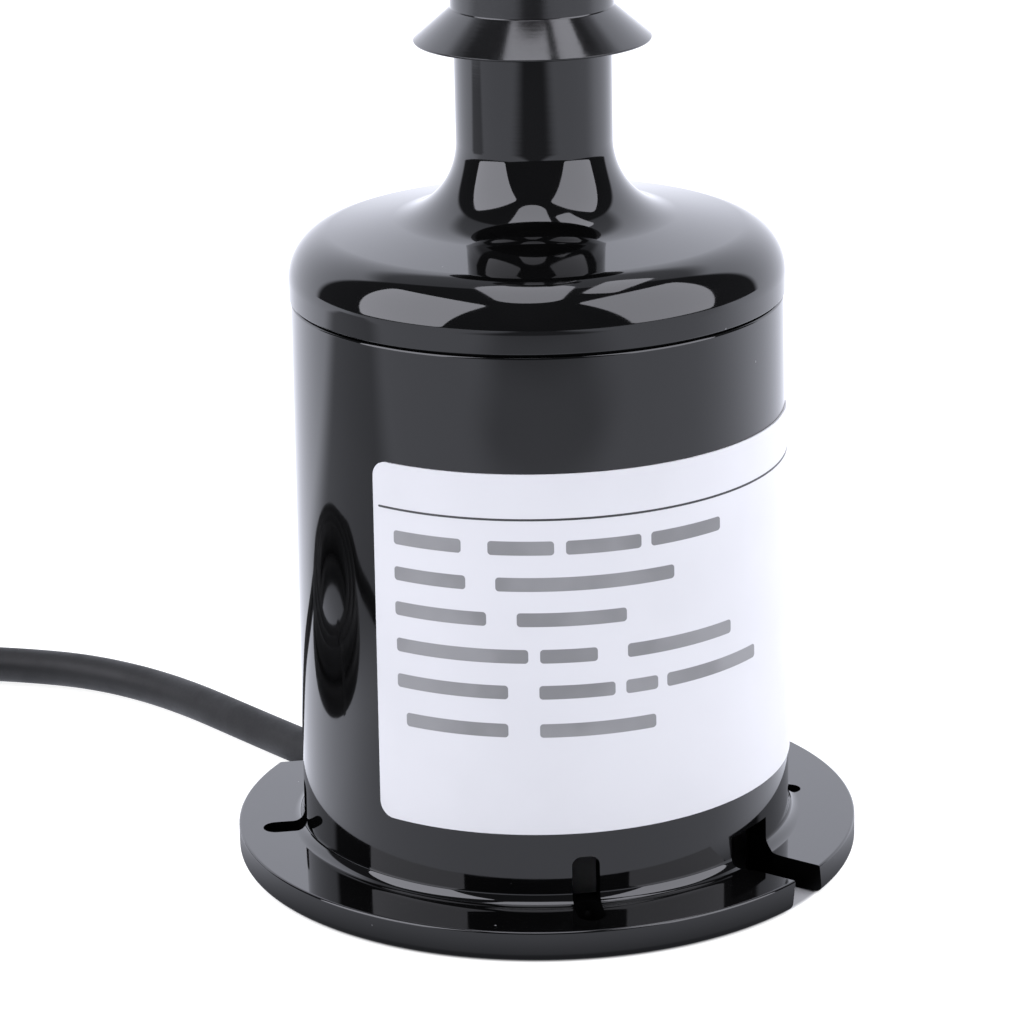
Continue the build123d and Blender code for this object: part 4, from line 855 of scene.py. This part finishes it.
# ------------------------------------------------------------------ studio
FRONT_DEG = -98.6             # the direction of the camera, seen from above
FLOOR_HALF, MIRRORED_HALF = 6.0, 1.1
FLOOR_GREY, FLOOR_GLOW, FLOOR_BEHIND = 0.38, 0.87, 1.55
# the second pair is where the mirrored floor's painted contact shadow fades from black to full light
GLOW_EDGE, FLOOR_CONTACT_SHADOW = (0.0386, 0.0396), (0.036, 0.052)
WORLD_FRONT, WORLD_BACK, WORLD_HIGH = 0.08, 1.58, 0.5
WALL_SIDES, WALL_TOP = (-0.44, -0.52), (0.66, 0.78)   # where the pale wall begins and ends
LIGHT_TINT, WALL_TINT = (0.98, 0.985, 1.08), (0.965, 0.99, 1.11)
WHOLE_SIDE = (-9.1, -9.0, 9.0, 9.1)
FLOOR_SHADE = (               # painted light and shade of the mirrored floor, each zone: where it starts, is full, ends and is gone: ahead, aside; its light
    ((-0.12, 0.10, 9.0, 9.1), WHOLE_SIDE, 1.05),
    ((-0.11, -0.06, 0.05, 0.10), (-0.60, -0.50, -0.14, -0.09), 0.55),
    ((0.0, 0.03, 0.10, 0.16), (-0.15, -0.06, 0.06, 0.15), 0.88),
    ((0.20, 0.25, 9.0, 9.1), (-0.16, -0.07, 0.09, 0.20), 0.66),
    ((0.28, 0.38, 9.0, 9.1), (-0.27, -0.10, 0.10, 0.27), 0.18),
)


def emitter(name, strength, tint):
    """A plain light surface."""
    made = bpy.data.materials.new(name)
    made.use_nodes = True
    tree = made.node_tree
    tree.nodes.clear()
    glow = node(tree, "ShaderNodeEmission", {"Strength": strength, "Color": rgba(tint)})
    out = node(tree, "ShaderNodeOutputMaterial")
    tree.links.new(glow.outputs[0], out.inputs["Surface"])
    return made


def softbox(name, azimuth, elevation, distance, width, height, strength, aside=0.0, corner=0.1):
    """A softbox that faces the object, at an angle right of the camera and above the floor."""
    a, e = radians(FRONT_DEG + azimuth), radians(elevation)
    out = Vector((cos(a) * cos(e), sin(a) * cos(e), sin(e)))
    side = Vector((-sin(a), cos(a), 0))
    up = out.cross(side)
    bm = bmesh.new()
    half_w, half_h = width / 2, height / 2
    ring = []
    for x, y, start in ((1, 1, 0), (-1, 1, 90), (-1, -1, 180), (1, -1, 270)):
        middle = (x * (half_w - corner), y * (half_h - corner))
        ring += arc(middle, corner, start, start + 90, 8)
    bm.faces.new([bm.verts.new(side * (x + aside) + up * y + out * distance) for x, y in ring])
    mesh = bpy.data.meshes.new(name)
    bm.to_mesh(mesh)
    bm.free()
    made = bpy.data.objects.new(name, mesh)
    made.data.materials.append(emitter(name, strength, LIGHT_TINT))
    made.visible_camera = False
    made.visible_shadow = False
    scene.collection.objects.link(made)


def make_world():
    """White behind the object; in reflections, a dim room in front and a pale wall behind."""
    world = bpy.data.worlds.new("studio")
    scene.world = world
    world.use_nodes = True
    tree = world.node_tree
    tree.nodes.clear()
    direction = node(tree, "ShaderNodeTexCoord").outputs["Generated"]
    level = node(tree, "ShaderNodeVectorMath", {0: direction, 1: (1, 1, 0)}, operation="MULTIPLY")
    level = node(tree, "ShaderNodeVectorMath", {0: level.outputs[0]}, operation="NORMALIZE")
    front = tuple(polar(1, FRONT_DEG))
    facing = node(tree, "ShaderNodeVectorMath", {0: level.outputs[0], 1: front},
                  operation="DOT_PRODUCT").outputs["Value"]
    behind = ramp(tree, facing, *WALL_SIDES)
    height = node(tree, "ShaderNodeSeparateXYZ", {"Vector": direction}).outputs["Z"]
    wall = ramp(tree, height, *WALL_TOP, WORLD_BACK, WORLD_HIGH)
    seen = node(tree, "ShaderNodeLightPath").outputs["Is Camera Ray"]
    strength = blend(tree, seen, blend(tree, behind, WORLD_FRONT, wall), 1.0)
    tint = mix_colour(tree, seen, rgba(WALL_TINT), rgba(1.0))
    glow = node(tree, "ShaderNodeBackground", {"Strength": strength, "Color": tint})
    out = node(tree, "ShaderNodeOutputWorld")
    tree.links.new(glow.outputs[0], out.inputs["Surface"])


def floor_plane(name, material, half, z, in_view):
    """A floor that only the camera sees, or that only the rest of the scene sees."""
    mesh = bpy.data.meshes.new(name)
    mesh.from_pydata([(-half, -half, z), (half, -half, z), (half, half, z), (-half, half, z)],
                     [], [(0, 1, 2, 3)])
    mesh.materials.append(material)
    made = bpy.data.objects.new(name, mesh)
    made.visible_camera = in_view
    made.visible_diffuse = made.visible_glossy = made.visible_shadow = not in_view
    scene.collection.objects.link(made)


def white_floor():
    """The floor that the camera sees: pale, and lit up to white except under the flange."""
    made = surface("floor_white", FLOOR_GREY, FLOOR_GREY * 1.02, 0.7, ior=1.0, bump=0.0)
    tree = made.node_tree
    shader = tree.nodes["Principled BSDF"]
    shader.inputs["Emission Color"].default_value = rgba(1.0)
    place = node(tree, "ShaderNodeTexCoord").outputs["Object"]
    away = node(tree, "ShaderNodeVectorMath", {0: place}, operation="LENGTH").outputs["Value"]
    tree.links.new(ramp(tree, away, *GLOW_EDGE, 0.0, FLOOR_GLOW),
                   shader.inputs["Emission Strength"])
    return made


def shaded_floor():
    """The floor that the object mirrors, a glowing sheet with its light and shade painted in: duller in
    front, darkest below the camera, and black round the object as a painted contact shadow.
    """
    made = emitter("floor_mirrored", 1.0, 1.0)
    tree = made.node_tree
    colour = rgba(FLOOR_BEHIND)
    place = node(tree, "ShaderNodeTexCoord").outputs["Object"]
    ahead = node(tree, "ShaderNodeVectorMath", {0: place, 1: tuple(polar(1, FRONT_DEG))},
                 operation="DOT_PRODUCT").outputs["Value"]
    aside = node(tree, "ShaderNodeVectorMath", {0: place, 1: tuple(polar(1, FRONT_DEG + 90))},
                 operation="DOT_PRODUCT").outputs["Value"]
    for reach_ahead, reach_aside, light in FLOOR_SHADE:
        share = math(tree, "MULTIPLY", between(tree, ahead, *reach_ahead),
                     between(tree, aside, *reach_aside))
        colour = mix_colour(tree, share, colour, rgba(light))
    away = node(tree, "ShaderNodeVectorMath", {0: place}, operation="LENGTH").outputs["Value"]
    # painted contact shadow: the mirrored floor goes black round the object's foot
    colour = mix_colour(tree, ramp(tree, away, *FLOOR_CONTACT_SHADOW), rgba(0.0), colour)
    tinted = node(tree, "ShaderNodeVectorMath", {0: colour, 1: WALL_TINT}, operation="MULTIPLY")
    tree.links.new(tinted.outputs["Vector"], tree.nodes["Emission"].inputs["Color"])
    return made


def make_studio():
    """Softboxes on both sides, two overhead, and a pale floor."""
    make_world()
    softbox("softbox_left", -64.5, 28.5, 1.5, 1.33, 1.63, 4.0)
    softbox("softbox_right", 64.0, 31.0, 1.5, 1.36, 1.78, 3.55)
    softbox("softbox_above_left", 0.0, 83.0, 1.6, 0.62, 1.36, 3.4, aside=-0.08, corner=0.3)
    softbox("softbox_above_right", 0.0, 95.0, 1.6, 0.34, 0.9, 3.4, aside=0.52)
    floor_plane("floor_in_view", white_floor(), FLOOR_HALF, -0.0002, True)
    floor_plane("floor_mirrored", shaded_floor(), MIRRORED_HALF, -0.0008, False)
    scene.view_settings.view_transform = "Standard"
    scene.view_settings.look = "None"


def leave_cups_out_of_reflections():
    """The rotor's reach is a guess, so the housing's gloss doesn't mirror the cups."""
    for made in scene.objects:
        if made.name.startswith("cup_"):
            made.visible_glossy = False


make_camera()
make_lead()
dress_cad_nodes()
make_base_housing()
make_top_cap()
make_label()
make_rotor_hub()
make_cups()
make_nut()
leave_cups_out_of_reflections()
make_studio()

bpy.context.view_layer.update()
